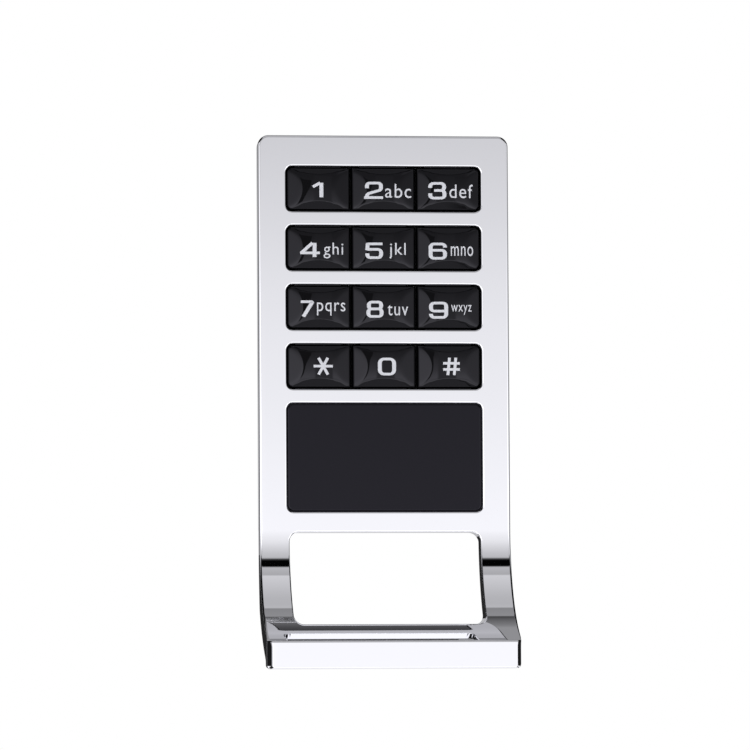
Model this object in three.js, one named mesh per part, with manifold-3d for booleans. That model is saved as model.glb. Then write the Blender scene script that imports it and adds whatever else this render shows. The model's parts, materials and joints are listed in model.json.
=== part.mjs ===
// Electronic cabinet lock. A chromed front plate with a pull handle holds twelve keys and a card
// reader window; behind it a rear case passes through the door and holds the cells and the bolt.
// Millimetres. X is to the right seen from the front, Y into the door, Z up. The origin lies on
// the door's outer face, at the middle of the bar between the reader window and the handle.
import * as THREE from 'three';
import { mergeVertices } from 'three/addons/utils/BufferGeometryUtils.js';
import Module from 'manifold-3d';

// Front plate
const plateOverlap = 6.5;
const plateCornerRadius = 2.8;
const faceWall = 1.6;
const rimWall = 2.2;
const sideDraft = 0.5;
const gasketThickness = 0.5;
const topMargin = 7.95;
const webHeight = 5.2;
const pocketCornerRadius = 1.4;
const pocketFloorDrop = 0.6;

// Openings in the plate
const slotBorder = 7.2;
const slotHeight = 11.7;
const slotBar = 3.55;
const slotRadius = 1.8;
const openingBevel = 0.4;
const readerHeight = 28;

// Pull handle
const sweepDrop = 2.06;
const sweepRadius = 31;
const sweepDegrees = 68;
const handleThickness = 6.5;
const lipHeight = 6.7;
const lipEndRadius = 1.4;
const lipCornerRadius = 1.1;
const armWidth = 7.8;
const crossBarHeight = 4.4;
const handleWindowRadius = 2.4;

// Keys
const keyRows = 4;
const keyColumns = 3;
const keyClearance = 0.2;
const keySpacing = 0.3;
const keyTravel = 1;
const keyEdgeRecess = 0.7;
const keyDomeHeight = 1.2;
const keyDomeWidth = 2.6;
const keyCrown = 0.15;
const keyTabWidth = 12;
const keyTabReach = 0.8;
const keyTabThickness = 0.7;
const keyStemRadius = 1.6;

// Clearances
const fitGap = 0.2;
const seatGap = 0.1;
const shaftGap = 0.1;
const overrun = 1;

// Reader window and aerial
const windowRecess = 0.3;
const windowEdge = 0.45;
const windowRimReach = 0.8;
const windowRimSide = 0.4;
const windowRimThickness = 0.8;
const antennaMargin = 1.6;
const antennaThickness = 0.8;
const coilTurns = 3;
const coilTrack = 0.9;
const coilPitch = 1.6;
const coilThickness = 0.2;
const ribbonWidth = 8;
const ribbonThickness = 0.3;
const ribbonLap = 4.5;

// Keypad mat and main board
const matThickness = 0.8;
const boardThickness = 1.2;
const boardMargin = 0.1;
const domeRadius = 1.8;
const domeHeight = 0.25;
const processorSize = 10;
const processorThickness = 1;
const buzzerRadius = 4.5;
const buzzerHeight = 4;
const buzzerPortRadius = 1.1;
const socketWidth = 10;
const socketHeight = 6;
const socketDepth = 5;

// Rear case
const caseDepth = 36;
const caseLift = 19;
const caseWall = 2;
const caseEdgeRadius = 1.5;
const flangeThickness = 1.4;
const flangeRecess = 0.05;
const flangeCornerRadius = 1.2;
const bayWall = 1.5;
const dividerWall = 2;
const mechanismWidth = 24.1;
const leadRoom = 4.3;

// Cells and their contacts
const cellRadius = 5.25;
const cellLength = 43.5;
const nubLength = 1;
const nubRadius = 1.9;
const cellSpacing = 0.3;
const contactThickness = 0.5;
const contactWidth = 8;
const springLength = 4.1;
const springBaseRadius = 3.4;
const springTipRadius = 2.2;
const springWire = 0.5;
const tagWidth = 3;
const tagReach = 1.2;

// Battery cover
const coverTongue = 0.9;
const coverTongueThickness = 0.8;
const gripRibs = 5;
const gripRibHeight = 0.4;
const gripRibWidth = 0.8;
const gripRibPitch = 2;
const gripRibLength = 12;

// Bolt and its drive
const boltHeight = 9;
const boltDepth = 9;
const boltReach = 9.7;
const boltThrow = 9.2;
const boltHeadroom = 5.1;
const noseChamfer = 0.7;
const gearModule = 0.8;
const pinionTeeth = 10;
const rackTeeth = 6;
const rackClearance = 0.2;
const backlash = 0.14;
const pinionHeight = 7;
const shaftRadius = 1.5;
const shaftFlat = 0.5;
const shaftSeat = 5;

// Bolt chassis, keeper and motor
const chassisPlate = 1.5;
const chassisFlange = 3.2;
const keeperWidth = 5.7;
const keeperThickness = 1.5;
const gearboxWidth = 12;
const gearboxDepth = 10;
const gearboxHeight = 9;
const gearboxDrop = 4.3;
const gearboxBossRadius = 2;
const gearboxBossHeight = 0.6;
const motorLength = 14.7;
const motorBearingRadius = 2;
const motorBearingHeight = 0.8;
const motorTabWidth = 1.5;
const motorTabThickness = 0.4;
const motorTabLength = 2;
const bracketWall = 1.2;
const bracketHeight = 7;

// Fasteners
const insertRadius = 2.3;
const insertBore = 1.3;
const insertLength = 5;
const insertBossRadius = 3;
const insertInset = 3.8;
const insertTopInset = 4.55;
const insertBaseHeight = 1;
const caseScrewOffset = 3;
const caseScrewLength = 4.4;
const caseBossRadius = 2;
const screwRadius = 1;
const screwHeadRadius = 1.9;
const screwHeadHeight = 1.1;
const boardPostRadius = 1.7;
const boardScrewLength = 3.6;
const keeperScrewLength = 6;
const rearScrewLength = 7;

// Internal leads
const leadRadius = 0.9;
const leadSides = 8;

// Round pieces and curves
const holeSides = 12;
const hiddenSides = 8;
const roundSides = 16;
const sweepSegments = 18;
const cornerSegments = 3;
const domeSteps = 3;

// Places that follow from the sizes above
const twoCells = 4 * cellRadius + 3 * cellSpacing;
const caseWidth = 2 * caseWall + twoCells + dividerWall + mechanismWidth;
const plateWidth = caseWidth + 2 * plateOverlap;
const slotWidth = plateWidth - 2 * slotBorder;
const boardWidth = slotWidth - 2 * boardMargin;
const keySpace = fitGap + keyTabThickness + keyTravel + seatGap;
const switchSpace = matThickness + domeHeight + seatGap + boardThickness + seatGap;
const backSpace = flangeThickness + flangeRecess + gasketThickness;
const plateThickness = faceWall + keySpace + switchSpace + backSpace;
const halfPlate = plateWidth / 2;
const frontY = -plateThickness;
const wallBackY = frontY + faceWall;
const rimBackY = -gasketThickness;
const windowTopZ = -webHeight / 2;
const readerBottomZ = webHeight / 2;
const readerCentreZ = readerBottomZ + readerHeight / 2;
const rowPitch = slotHeight + slotBar;
const lowestRowZ = readerBottomZ + readerHeight + slotBar + slotHeight / 2;
const plateTopZ = readerBottomZ + readerHeight + keyRows * rowPitch + topMargin;
const pocketBottomZ = -pocketFloorDrop;
const pocketTopZ = plateTopZ - rimWall;
const pocketHalfWidth = halfPlate - rimWall;

const keyWidth = (slotWidth - 2 * keyClearance - (keyColumns - 1) * keySpacing) / keyColumns;
const keyHeight = slotHeight - 2 * keyClearance;
const keyPitch = keyWidth + keySpacing;
const keyEdgeY = frontY + keyEdgeRecess;
const tabFrontY = wallBackY + fitGap;
const tabBackY = tabFrontY + keyTabThickness;

const matFrontY = tabBackY + keyTravel + seatGap;
const matBackY = matFrontY + matThickness;
const boardFrontY = matBackY + domeHeight + seatGap;
const boardBackY = boardFrontY + boardThickness;
const domeFrontY = boardFrontY - domeHeight;
const stemTipY = domeFrontY - seatGap - keyTravel;
const boardBottomZ = readerBottomZ + readerHeight + 2 * windowRimReach + seatGap;
const boardTopZ = lowestRowZ + (keyRows - 1) * rowPitch + slotHeight / 2;

const flangeFrontY = boardBackY + seatGap;
const flangeBackY = flangeFrontY + flangeThickness;
const caseHalfWidth = caseWidth / 2;
const caseBottomZ = caseLift;
const caseInnerX = caseHalfWidth - caseWall;
const caseInnerBottomZ = caseBottomZ + caseWall;
const caseInnerBackY = caseDepth - caseWall;

const cellPitch = 2 * cellRadius + cellSpacing;
const leftCellX = -caseInnerX + cellSpacing + cellRadius;
const rightCellX = leftCellX + cellPitch;
const backCellY = caseInnerBackY - 2 * fitGap - cellRadius;
const frontCellY = backCellY - cellPitch;
const bayRightX = rightCellX + cellRadius + cellSpacing;
const dividerRightX = bayRightX + dividerWall;
const bayFloorBackY = frontCellY - cellRadius - 2 * fitGap;
const bayFloorFrontY = bayFloorBackY - bayWall;
const lowContactZ = caseInnerBottomZ + seatGap;
const lowCellZ = lowContactZ + contactThickness + fitGap;
const raisedCellZ = lowContactZ + contactThickness + springLength + fitGap;
const highContactZ = raisedCellZ + cellLength + nubLength + fitGap;
const bayCeilingZ = highContactZ + contactThickness + seatGap;
const bayTopZ = bayCeilingZ + bayWall;
const caseInnerTopZ = bayTopZ + leadRoom;
const caseTopZ = caseInnerTopZ + caseWall;

const boltFrontY = caseInnerBackY - seatGap - chassisPlate - 2 * fitGap - boltDepth;
const boltBackY = boltFrontY + boltDepth;
const boltNoseX = caseHalfWidth + boltReach;
const boltCentreHeight = caseInnerTopZ - boltHeadroom - chassisFlange - fitGap - boltHeight / 2;
const boltBottomZ = boltCentreHeight - boltHeight / 2;
const boltTopZ = boltCentreHeight + boltHeight / 2;
const pinionRadius = (gearModule * pinionTeeth) / 2;
const toothPitch = Math.PI * gearModule;
const toothRise = gearModule;
const toothFall = gearModule + rackClearance;
const rackTipY = boltFrontY + rackClearance;
const rackLineY = rackTipY + toothRise;
const rackRootY = rackLineY + toothFall;
const pinionY = rackLineY - pinionRadius;
const pinionOuterRadius = pinionRadius + toothRise;
const headRunOut = Math.sqrt(pinionOuterRadius ** 2 - (boltFrontY - pinionY) ** 2);
const boltTailX = dividerRightX + boltThrow + 2 * fitGap;
const pinionX = boltTailX + toothPitch;
const headStartX = pinionX + headRunOut + boltThrow + fitGap;

const chassisLowZ = boltBottomZ - fitGap - chassisFlange;
const chassisHighZ = boltTopZ + fitGap + chassisFlange;
const chassisLeftX = dividerRightX + fitGap;
const chassisRightX = caseInnerX - fitGap;
const chassisBackY = caseInnerBackY - seatGap;
const keeperBackY = boltFrontY - fitGap;
const keeperFrontY = keeperBackY - keeperThickness;
const keeperLeftX = chassisRightX - keeperWidth;
const keeperScrewX = chassisRightX - keeperWidth / 2;
const gearboxTopZ = boltBottomZ - gearboxDrop;
const gearboxBottomZ = gearboxTopZ - gearboxHeight;
const motorTopZ = gearboxBottomZ - seatGap;
const motorBottomZ = motorTopZ - motorLength;
const bracketTopZ = gearboxTopZ - 2 * fitGap;
const bracketMiddleZ = bracketTopZ - bracketHeight / 2;

const lipTopZ = -sweepDrop - sweepRadius * Math.sin(THREE.MathUtils.degToRad(sweepDegrees));
const sweepCentreY = frontY - sweepRadius;
const lipFrontY = sweepCentreY + sweepRadius * Math.cos(THREE.MathUtils.degToRad(sweepDegrees));
const lipBottomZ = lipTopZ - lipHeight;

const wasm = await Module();
wasm.setup();

// Solids and back

// A closed geometry as a solid, with shared corners merged and faces without area left out.
function solid(geometry) {
  const bare = new THREE.BufferGeometry();
  bare.setAttribute('position', geometry.getAttribute('position'));
  bare.setIndex(geometry.getIndex());
  const merged = mergeVertices(bare);
  const corners = merged.getIndex().array;
  const kept = [];
  for (let i = 0; i < corners.length; i += 3) {
    const [a, b, c] = [corners[i], corners[i + 1], corners[i + 2]];
    if (a !== b && b !== c && c !== a) kept.push(a, b, c);
  }
  const vertProperties = merged.getAttribute('position').array;
  return new wasm.Manifold(new wasm.Mesh({ numProp: 3, vertProperties, triVerts: new Uint32Array(kept) }));
}

function geometryOf(made) {
  const mesh = made.getMesh();
  const geometry = new THREE.BufferGeometry();
  geometry.setAttribute('position', new THREE.BufferAttribute(mesh.vertProperties, mesh.numProp));
  geometry.setIndex(new THREE.BufferAttribute(mesh.triVerts, 1));
  return geometry;
}

function joined(parts) {
  return parts.map(solid).reduce((whole, part) => whole.add(part));
}

function cutAway(body, tools) {
  return tools.map(solid).reduce((rest, tool) => rest.subtract(tool), body);
}

// Shapes

function block(x0, x1, y0, y1, z0, z1) {
  const box = new THREE.BoxGeometry(x1 - x0, y1 - y0, z1 - z0);
  return box.translate((x0 + x1) / 2, (y0 + y1) / 2, (z0 + z1) / 2);
}

// A rod along Y from y0 to y1.
function rodY(radius, x, z, y0, y1, sides = holeSides) {
  return new THREE.CylinderGeometry(radius, radius, y1 - y0, sides).translate(x, (y0 + y1) / 2, z);
}

// A rod or cone along Z from z0 to z1, with its own radius at each end.
function rodZ(lowRadius, highRadius, x, y, z0, z1, sides = roundSides) {
  const rod = new THREE.CylinderGeometry(highRadius, lowRadius, z1 - z0, sides);
  return rod.rotateX(Math.PI / 2).translate(x, y, (z0 + z1) / 2);
}

// An outline in X and Z, given a thickness along Y.
function slabY(outline, y0, y1) {
  const settings = { depth: y1 - y0, bevelEnabled: false, curveSegments: cornerSegments };
  const slab = new THREE.ExtrudeGeometry(outline, settings);
  return slab.rotateX(Math.PI / 2).translate(0, y1, 0);
}

// An outline in X and Y, given a thickness along Z.
function slabZ(outline, z0, z1, curveSegments = cornerSegments) {
  const slab = new THREE.ExtrudeGeometry(outline, { depth: z1 - z0, bevelEnabled: false, curveSegments });
  return slab.translate(0, 0, z0);
}

// An outline in Y and Z, given a thickness along X.
function slabX(outline, x0, x1, curveSegments = cornerSegments) {
  const slab = new THREE.ExtrudeGeometry(outline, { depth: x1 - x0, bevelEnabled: false, curveSegments });
  const turn = new THREE.Matrix4();
  turn.makeBasis(new THREE.Vector3(0, 1, 0), new THREE.Vector3(0, 0, 1), new THREE.Vector3(1, 0, 0));
  return slab.applyMatrix4(turn).translate(x0, 0, 0);
}

function roundedRectangle(x0, x1, z0, z1, topRadius, bottomRadius = topRadius) {
  const quarter = Math.PI / 2;
  const shape = new THREE.Shape();
  shape.absarc(x1 - bottomRadius, z0 + bottomRadius, bottomRadius, -quarter, 0);
  shape.absarc(x1 - topRadius, z1 - topRadius, topRadius, 0, quarter);
  shape.absarc(x0 + topRadius, z1 - topRadius, topRadius, quarter, 2 * quarter);
  shape.absarc(x0 + bottomRadius, z0 + bottomRadius, bottomRadius, 2 * quarter, 3 * quarter);
  return shape;
}

// Rounded rectangles at rising y, skinned into one closed body. A ring is { y, width, height, radius }.
// With a crown, the front end rises to a point at that y.
function skinned(rings, x, z, crownY = rings[0].y) {
  const points = [];
  const faces = [];
  const count = 4 * (cornerSegments + 1);
  for (const ring of rings) {
    for (let k = 0; k < count; k += 1) {
      const corner = Math.floor(k / (cornerSegments + 1));
      const turn = ((corner - 1) * Math.PI) / 2;
      const angle = turn + ((k % (cornerSegments + 1)) / cornerSegments) * (Math.PI / 2);
      const sideX = corner < 2 ? 1 : -1;
      const sideZ = corner === 1 || corner === 2 ? 1 : -1;
      points.push(x + sideX * (ring.width / 2 - ring.radius) + ring.radius * Math.cos(angle));
      points.push(ring.y);
      points.push(z + sideZ * (ring.height / 2 - ring.radius) + ring.radius * Math.sin(angle));
    }
  }
  const last = rings.length - 1;
  const frontCentre = rings.length * count;
  points.push(x, crownY, z, x, rings[last].y, z);
  for (let k = 0; k < count; k += 1) {
    const next = (k + 1) % count;
    faces.push(frontCentre, k, next);
    faces.push(frontCentre + 1, last * count + next, last * count + k);
    for (let r = 0; r < last; r += 1) {
      const [a, b] = [r * count + k, r * count + next];
      faces.push(a, a + count, b + count, a, b + count, b);
    }
  }
  const geometry = new THREE.BufferGeometry();
  geometry.setAttribute('position', new THREE.Float32BufferAttribute(points, 3));
  geometry.setIndex(faces);
  return geometry;
}

// A pan-head screw along Y: its tip at y = 0, its head at the far end.
function screw(length) {
  const profile = [
    new THREE.Vector2(0, 0),
    new THREE.Vector2(screwRadius, 0),
    new THREE.Vector2(screwRadius, length),
    new THREE.Vector2(screwHeadRadius, length),
    new THREE.Vector2(screwHeadRadius, length + screwHeadHeight),
    new THREE.Vector2(0, length + screwHeadHeight),
  ];
  return new THREE.LatheGeometry(profile, holeSides);
}

// A round lead along a hand-chosen route of points.
function lead(route) {
  const path = new THREE.CatmullRomCurve3(route);
  const section = new THREE.Shape();
  for (let k = 0; k < leadSides; k += 1) {
    const angle = (2 * Math.PI * k) / leadSides;
    const [u, v] = [leadRadius * Math.cos(angle), leadRadius * Math.sin(angle)];
    if (k === 0) section.moveTo(u, v);
    else section.lineTo(u, v);
  }
  section.closePath();
  const steps = Math.round(path.getLength() / (6 * leadRadius)) + leadSides / 2;
  return new THREE.ExtrudeGeometry(section, { steps, bevelEnabled: false, extrudePath: path });
}

// The finished assembly and its finishes

const lock = new THREE.Group();

function finish(color, roughness, metalness) {
  return new THREE.MeshStandardMaterial({ color, roughness, metalness });
}

const chrome = () => finish(0xe8e8ec, 0.08, 1);
const glossBlack = () => finish(0x2a292e, 0.15, 0);
const caseBlack = () => finish(0x232326, 0.55, 0);
const rubber = () => finish(0x38383a, 0.8, 0);
const boardGreen = () => finish(0x1f5a3a, 0.5, 0);
const chipBlack = () => finish(0x1c1c1e, 0.5, 0);
const copper = () => finish(0xb8754a, 0.35, 1);
const steel = () => finish(0xb4b6ba, 0.3, 1);
const nickel = () => finish(0xc9c6bd, 0.25, 1);
const brass = () => finish(0xc2a15a, 0.35, 1);
const nylon = () => finish(0xe4e2da, 0.5, 0);
const cellWrap = () => finish(0x3f6f9c, 0.35, 0);

function place(name, geometry, material, x = 0, y = 0, z = 0) {
  const mesh = new THREE.Mesh(geometry, material);
  mesh.name = name;
  mesh.position.set(x, y, z);
  lock.add(mesh);
}

const insertPlaces = [-1, 1].flatMap((side) => [0, 1].map((row) => ({
  x: side * (halfPlate - insertInset),
  z: row === 0 ? insertBaseHeight : plateTopZ - insertTopInset,
})));
const caseScrewHeights = [caseBottomZ - caseScrewOffset, caseTopZ + caseScrewOffset];
const caseScrewPlaces = [-1, 1].flatMap((side) => caseScrewHeights.map((z) => ({
  x: (side * (slotWidth / 2 + pocketHalfWidth)) / 2,
  z,
})));
const boardPostPlaces = [-1, 1].map((side) => ({
  x: (side * keyPitch) / 2,
  z: lowestRowZ + rowPitch * (keyRows / 2 - 1 / 2),
}));
const rowCentres = Array.from({ length: keyRows }, (_, row) => lowestRowZ + row * rowPitch);
const middleColumn = (keyColumns - 1) / 2;
const columnCentres = Array.from({ length: keyColumns }, (_, column) => (column - middleColumn) * keyPitch);

// Front plate with its pull handle

// The side outline: a straight plate, then an arc that sweeps forward and ends in the lip.
function plateSide() {
  const backRadius = sweepRadius + handleThickness;
  const endAngle = Math.asin((-sweepDrop - lipBottomZ) / backRadius);
  const outline = new THREE.Shape();
  outline.moveTo(rimBackY, plateTopZ);
  outline.lineTo(frontY, plateTopZ);
  outline.lineTo(frontY, -sweepDrop);
  outline.absarc(sweepCentreY, -sweepDrop, sweepRadius, 0, -THREE.MathUtils.degToRad(sweepDegrees), true);
  outline.lineTo(lipFrontY, lipBottomZ);
  outline.absarc(sweepCentreY, -sweepDrop, backRadius, -endAngle, 0, false);
  outline.lineTo(rimBackY, -sweepDrop);
  outline.closePath();
  return outline;
}

// The outline from above: sides drafted towards the door, and the lip's rounded ends.
function platePlan() {
  const outline = new THREE.Shape();
  const endX = halfPlate - lipEndRadius;
  outline.moveTo(halfPlate - sideDraft, 0);
  outline.lineTo(-halfPlate + sideDraft, 0);
  outline.lineTo(-halfPlate, frontY);
  outline.absarc(-endX, lipFrontY + lipEndRadius, lipEndRadius, Math.PI, 1.5 * Math.PI);
  outline.absarc(endX, lipFrontY + lipEndRadius, lipEndRadius, 1.5 * Math.PI, 2 * Math.PI);
  outline.lineTo(halfPlate, frontY);
  outline.closePath();
  return outline;
}

// A bevelled opening through the front wall.
function openingCutter(width, height, centreZ) {
  const reach = openingBevel + overrun;
  const straight = { width, height, radius: slotRadius };
  const flared = { width: width + 2 * reach, height: height + 2 * reach, radius: slotRadius + reach };
  return skinned([
    { y: frontY - overrun, ...flared },
    { y: frontY + openingBevel, ...straight },
    { y: wallBackY + overrun, ...straight },
  ], 0, centreZ);
}

function frontPlate() {
  const pocket = roundedRectangle(
    -pocketHalfWidth,
    pocketHalfWidth,
    pocketBottomZ,
    pocketTopZ,
    pocketCornerRadius,
  );
  const rough = cutAway(solid(slabX(plateSide(), -halfPlate, halfPlate, sweepSegments)), [
    slabY(pocket, wallBackY, overrun),
  ]);
  const rootY = wallBackY - faceWall / 2;
  const bosses = joined([
    ...insertPlaces.map(({ x, z }) => rodY(insertBossRadius, x, z, rootY, rimBackY, roundSides)),
    ...caseScrewPlaces.map(({ x, z }) => rodY(caseBossRadius, x, z, rootY, flangeFrontY - seatGap)),
    ...boardPostPlaces.map(({ x, z }) => rodY(boardPostRadius, x, z, rootY, boardFrontY - seatGap)),
  ]);
  const outerFront = roundedRectangle(
    -halfPlate,
    halfPlate,
    lipBottomZ,
    plateTopZ,
    plateCornerRadius,
    lipCornerRadius,
  );
  const shaped = rough.add(bosses)
    .intersect(solid(slabZ(platePlan(), lipBottomZ - overrun, plateTopZ + overrun)))
    .intersect(solid(slabY(outerFront, lipFrontY - overrun, overrun)));
  const windowHalf = halfPlate - armWidth;
  const windowBottomZ = lipTopZ + crossBarHeight;
  const grip = roundedRectangle(-windowHalf, windowHalf, windowBottomZ, windowTopZ, handleWindowRadius);
  const insertSeatY = rimBackY - insertLength - 2 * seatGap;
  return geometryOf(cutAway(shaped, [
    slabY(grip, lipFrontY - overrun, overrun),
    openingCutter(slotWidth, readerHeight, readerCentreZ),
    ...rowCentres.map((z) => openingCutter(slotWidth, slotHeight, z)),
    ...insertPlaces.map(({ x, z }) => rodY(insertRadius + seatGap, x, z, insertSeatY, overrun, roundSides)),
    ...caseScrewPlaces.map(({ x, z }) => rodY(screwRadius + seatGap, x, z, wallBackY, overrun)),
    ...boardPostPlaces.map(({ x, z }) => rodY(screwRadius + seatGap, x, z, wallBackY, overrun)),
  ]));
}

place('front_plate', frontPlate(), chrome());

// Keys: a pillow-shaped cap, tabs that hold it behind the plate, and a stem towards its switch

function keyCap() {
  const rings = [];
  for (let step = domeSteps; step >= 0; step -= 1) {
    const angle = (step / domeSteps) * (Math.PI / 2);
    const inset = keyDomeWidth * (1 - Math.cos(angle));
    rings.push({
      y: keyEdgeY - keyDomeHeight * Math.sin(angle),
      width: keyWidth - 2 * inset,
      height: keyHeight - 2 * inset,
      radius: slotRadius - keyClearance,
    });
  }
  rings.push({ ...rings[domeSteps], y: tabBackY });
  const cap = skinned(rings, 0, 0, keyEdgeY - keyDomeHeight - keyCrown);
  const tabHalf = keyHeight / 2 + keyTabReach;
  return geometryOf(joined([
    cap,
    block(-keyTabWidth / 2, keyTabWidth / 2, tabFrontY, tabBackY, -tabHalf, tabHalf),
    rodY(keyStemRadius, 0, 0, tabFrontY, stemTipY, hiddenSides),
  ]));
}

const keyNames = [
  ['key_star', 'key_0', 'key_hash'],
  ['key_7', 'key_8', 'key_9'],
  ['key_4', 'key_5', 'key_6'],
  ['key_1', 'key_2', 'key_3'],
];
keyNames.forEach((names, row) => names.forEach((name, column) => {
  place(name, keyCap(), glossBlack(), columnCentres[column], 0, rowCentres[row]);
}));

function keypadMat() {
  const halfMat = boardWidth / 2 + seatGap;
  const sheet = roundedRectangle(-halfMat, halfMat, boardBottomZ, boardTopZ, slotRadius);
  const holes = rowCentres.flatMap((z) => columnCentres.map((x) => (
    rodY(keyStemRadius + fitGap, x, z, matFrontY - overrun, matBackY + overrun, hiddenSides)
  )));
  const postHoles = boardPostPlaces.map(({ x, z }) => (
    rodY(boardPostRadius + fitGap, x, z, matFrontY - overrun, matBackY + overrun)
  ));
  return geometryOf(cutAway(solid(slabY(sheet, matFrontY, matBackY)), [...holes, ...postHoles]));
}

place('keypad_mat', keypadMat(), rubber());

// Reader window with its rim behind the plate, aerial board, coil and ribbon

const windowBackY = wallBackY + fitGap + windowRimThickness;

function readerWindow() {
  const width = slotWidth - 2 * keyClearance;
  const height = readerHeight - 2 * keyClearance;
  const radius = slotRadius - keyClearance;
  const faceY = frontY + windowRecess;
  const halfEdge = windowEdge / 2;
  const glass = skinned([
    { y: faceY, width: width - 2 * windowEdge, height: height - 2 * windowEdge, radius },
    { y: faceY + halfEdge, width: width - halfEdge, height: height - halfEdge, radius },
    { y: faceY + windowEdge, width, height, radius },
    { y: windowBackY, width, height, radius },
  ], 0, readerCentreZ);
  const rimX = width / 2 + windowRimSide;
  const rimZ = height / 2 + windowRimReach;
  const rimFrontY = wallBackY + fitGap;
  const rim = block(-rimX, rimX, rimFrontY, windowBackY, readerCentreZ - rimZ, readerCentreZ + rimZ);
  return geometryOf(joined([glass, rim]));
}

place('reader_window', readerWindow(), glossBlack());

const antennaFrontY = windowBackY + seatGap;
const antennaBackY = antennaFrontY + antennaThickness;
const antennaHalfWidth = slotWidth / 2 - antennaMargin;
const antennaHalfHeight = readerHeight / 2 - antennaMargin;

place('antenna_board', block(
  -antennaHalfWidth,
  antennaHalfWidth,
  antennaFrontY,
  antennaBackY,
  -antennaHalfHeight,
  antennaHalfHeight,
), boardGreen(), 0, 0, readerCentreZ);

// A flat track that winds inwards along a rectangle. Corner k of turn n steps in by the pitch.
function antennaCoil() {
  const halfX = antennaHalfWidth - coilPitch;
  const halfZ = antennaHalfHeight - coilPitch;
  const corners = [];
  for (let i = 0; i <= 4 * coilTurns; i += 1) {
    const turn = Math.floor(i / 4);
    const side = i % 4;
    const step = coilPitch * turn;
    const stepX = side === 0 ? Math.max(step - coilPitch, 0) : step;
    const signX = side === 1 || side === 2 ? 1 : -1;
    const signZ = side >= 2 ? 1 : -1;
    corners.push({ x: signX * (halfX - stepX), z: signZ * (halfZ - step), signX, signZ });
  }
  const reach = coilTrack / 2;
  const outer = corners.map((c) => new THREE.Vector2(c.x + c.signX * reach, c.z + c.signZ * reach));
  const inner = corners.map((c) => new THREE.Vector2(c.x - c.signX * reach, c.z - c.signZ * reach));
  return slabY(new THREE.Shape([...outer, ...inner.reverse()]), 0, coilThickness);
}

const coilFrontY = antennaBackY + seatGap;
place('antenna_coil', antennaCoil(), copper(), 0, coilFrontY, readerCentreZ);

// The flat ribbon runs up from the aerial board, steps back and ends on the main board's back.
function readerRibbon() {
  const lowY = coilFrontY + coilThickness + seatGap;
  const highY = boardBackY + seatGap;
  const bendLow = readerCentreZ + antennaHalfHeight;
  const bendHigh = boardBottomZ - ribbonThickness;
  const front = [
    [lowY, readerCentreZ],
    [lowY, bendLow],
    [highY, bendHigh],
    [highY, boardBottomZ + ribbonLap],
  ];
  const back = front.map(([y, z]) => [y + ribbonThickness, z]).reverse();
  back[1][1] -= ribbonThickness;
  back[2][1] -= ribbonThickness;
  const outline = new THREE.Shape([...front, ...back].map(([y, z]) => new THREE.Vector2(y, z)));
  return slabX(outline, -ribbonWidth / 2, ribbonWidth / 2);
}

place('reader_ribbon', readerRibbon(), nylon());

// Main board with a dome switch under each key, and what it carries on its back

function mainBoard() {
  const board = block(-boardWidth / 2, boardWidth / 2, boardFrontY, boardBackY, boardBottomZ, boardTopZ);
  const domes = rowCentres.flatMap((z) => columnCentres.map((x) => (
    rodY(domeRadius, x, z, domeFrontY, boardFrontY + boardThickness / 2, hiddenSides)
  )));
  const holes = boardPostPlaces.map(({ x, z }) => (
    rodY(screwRadius + seatGap, x, z, boardFrontY - overrun, boardBackY + overrun)
  ));
  return geometryOf(cutAway(joined([board, ...domes]), holes));
}

place('main_board', mainBoard(), boardGreen());

const partBackY = boardBackY + seatGap;
const lowerPartZ = lowestRowZ + domeRadius;
const upperPartZ = lowerPartZ + rowPitch;
const halfChip = processorSize / 2;

place('processor', block(
  -halfChip,
  halfChip,
  0,
  processorThickness,
  -halfChip,
  halfChip,
), chipBlack(), -keyPitch, partBackY, upperPartZ);

function buzzer() {
  const can = solid(rodY(buzzerRadius, 0, 0, 0, buzzerHeight, roundSides));
  return geometryOf(cutAway(can, [rodY(buzzerPortRadius, 0, 0, buzzerHeight / 2, buzzerHeight + overrun)]));
}

place('buzzer', buzzer(), chipBlack(), -keyPitch, partBackY, lowerPartZ);

const socketX = pinionX;
place('lead_socket', block(
  -socketWidth / 2,
  socketWidth / 2,
  0,
  socketDepth,
  -socketHeight / 2,
  socketHeight / 2,
), nylon(), socketX, partBackY, upperPartZ);

boardPostPlaces.forEach(({ x, z }, index) => {
  const tipY = boardBackY + seatGap - boardScrewLength;
  place(`board_screw_${index + 1}`, screw(boardScrewLength), steel(), x, tipY, z);
});

// Gasket, door inserts and case screws

function doorGasket() {
  const inset = rimWall / 8;
  const outerX = halfPlate - sideDraft - inset;
  const innerX = caseHalfWidth + fitGap;
  const outerBottomZ = -sweepDrop + seatGap;
  const outer = roundedRectangle(-outerX, outerX, outerBottomZ, plateTopZ - inset, plateCornerRadius);
  const innerTopZ = pocketTopZ - insertBossRadius;
  outer.holes.push(roundedRectangle(-innerX, innerX, readerBottomZ, innerTopZ, plateCornerRadius));
  const holes = insertPlaces.map(({ x, z }) => (
    rodY(insertRadius + seatGap, x, z, -overrun, overrun, roundSides)
  ));
  return geometryOf(cutAway(solid(slabY(outer, rimBackY, 0)), holes));
}

place('door_gasket', doorGasket(), rubber());

function threadInsert() {
  const body = solid(rodY(insertRadius, 0, 0, 0, insertLength, roundSides));
  return geometryOf(cutAway(body, [rodY(insertBore, 0, 0, -overrun, insertLength + overrun)]));
}

insertPlaces.forEach(({ x, z }, index) => {
  place(`thread_insert_${index + 1}`, threadInsert(), brass(), x, rimBackY - insertLength - seatGap, z);
});

const caseScrewHeadY = flangeBackY - screwHeadHeight;
caseScrewPlaces.forEach(({ x, z }, index) => {
  place(`case_screw_${index + 1}`, screw(caseScrewLength), steel(), x, caseScrewHeadY - caseScrewLength, z);
});

// Rear case: flange inside the plate, box through the door, battery bay on the left

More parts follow.
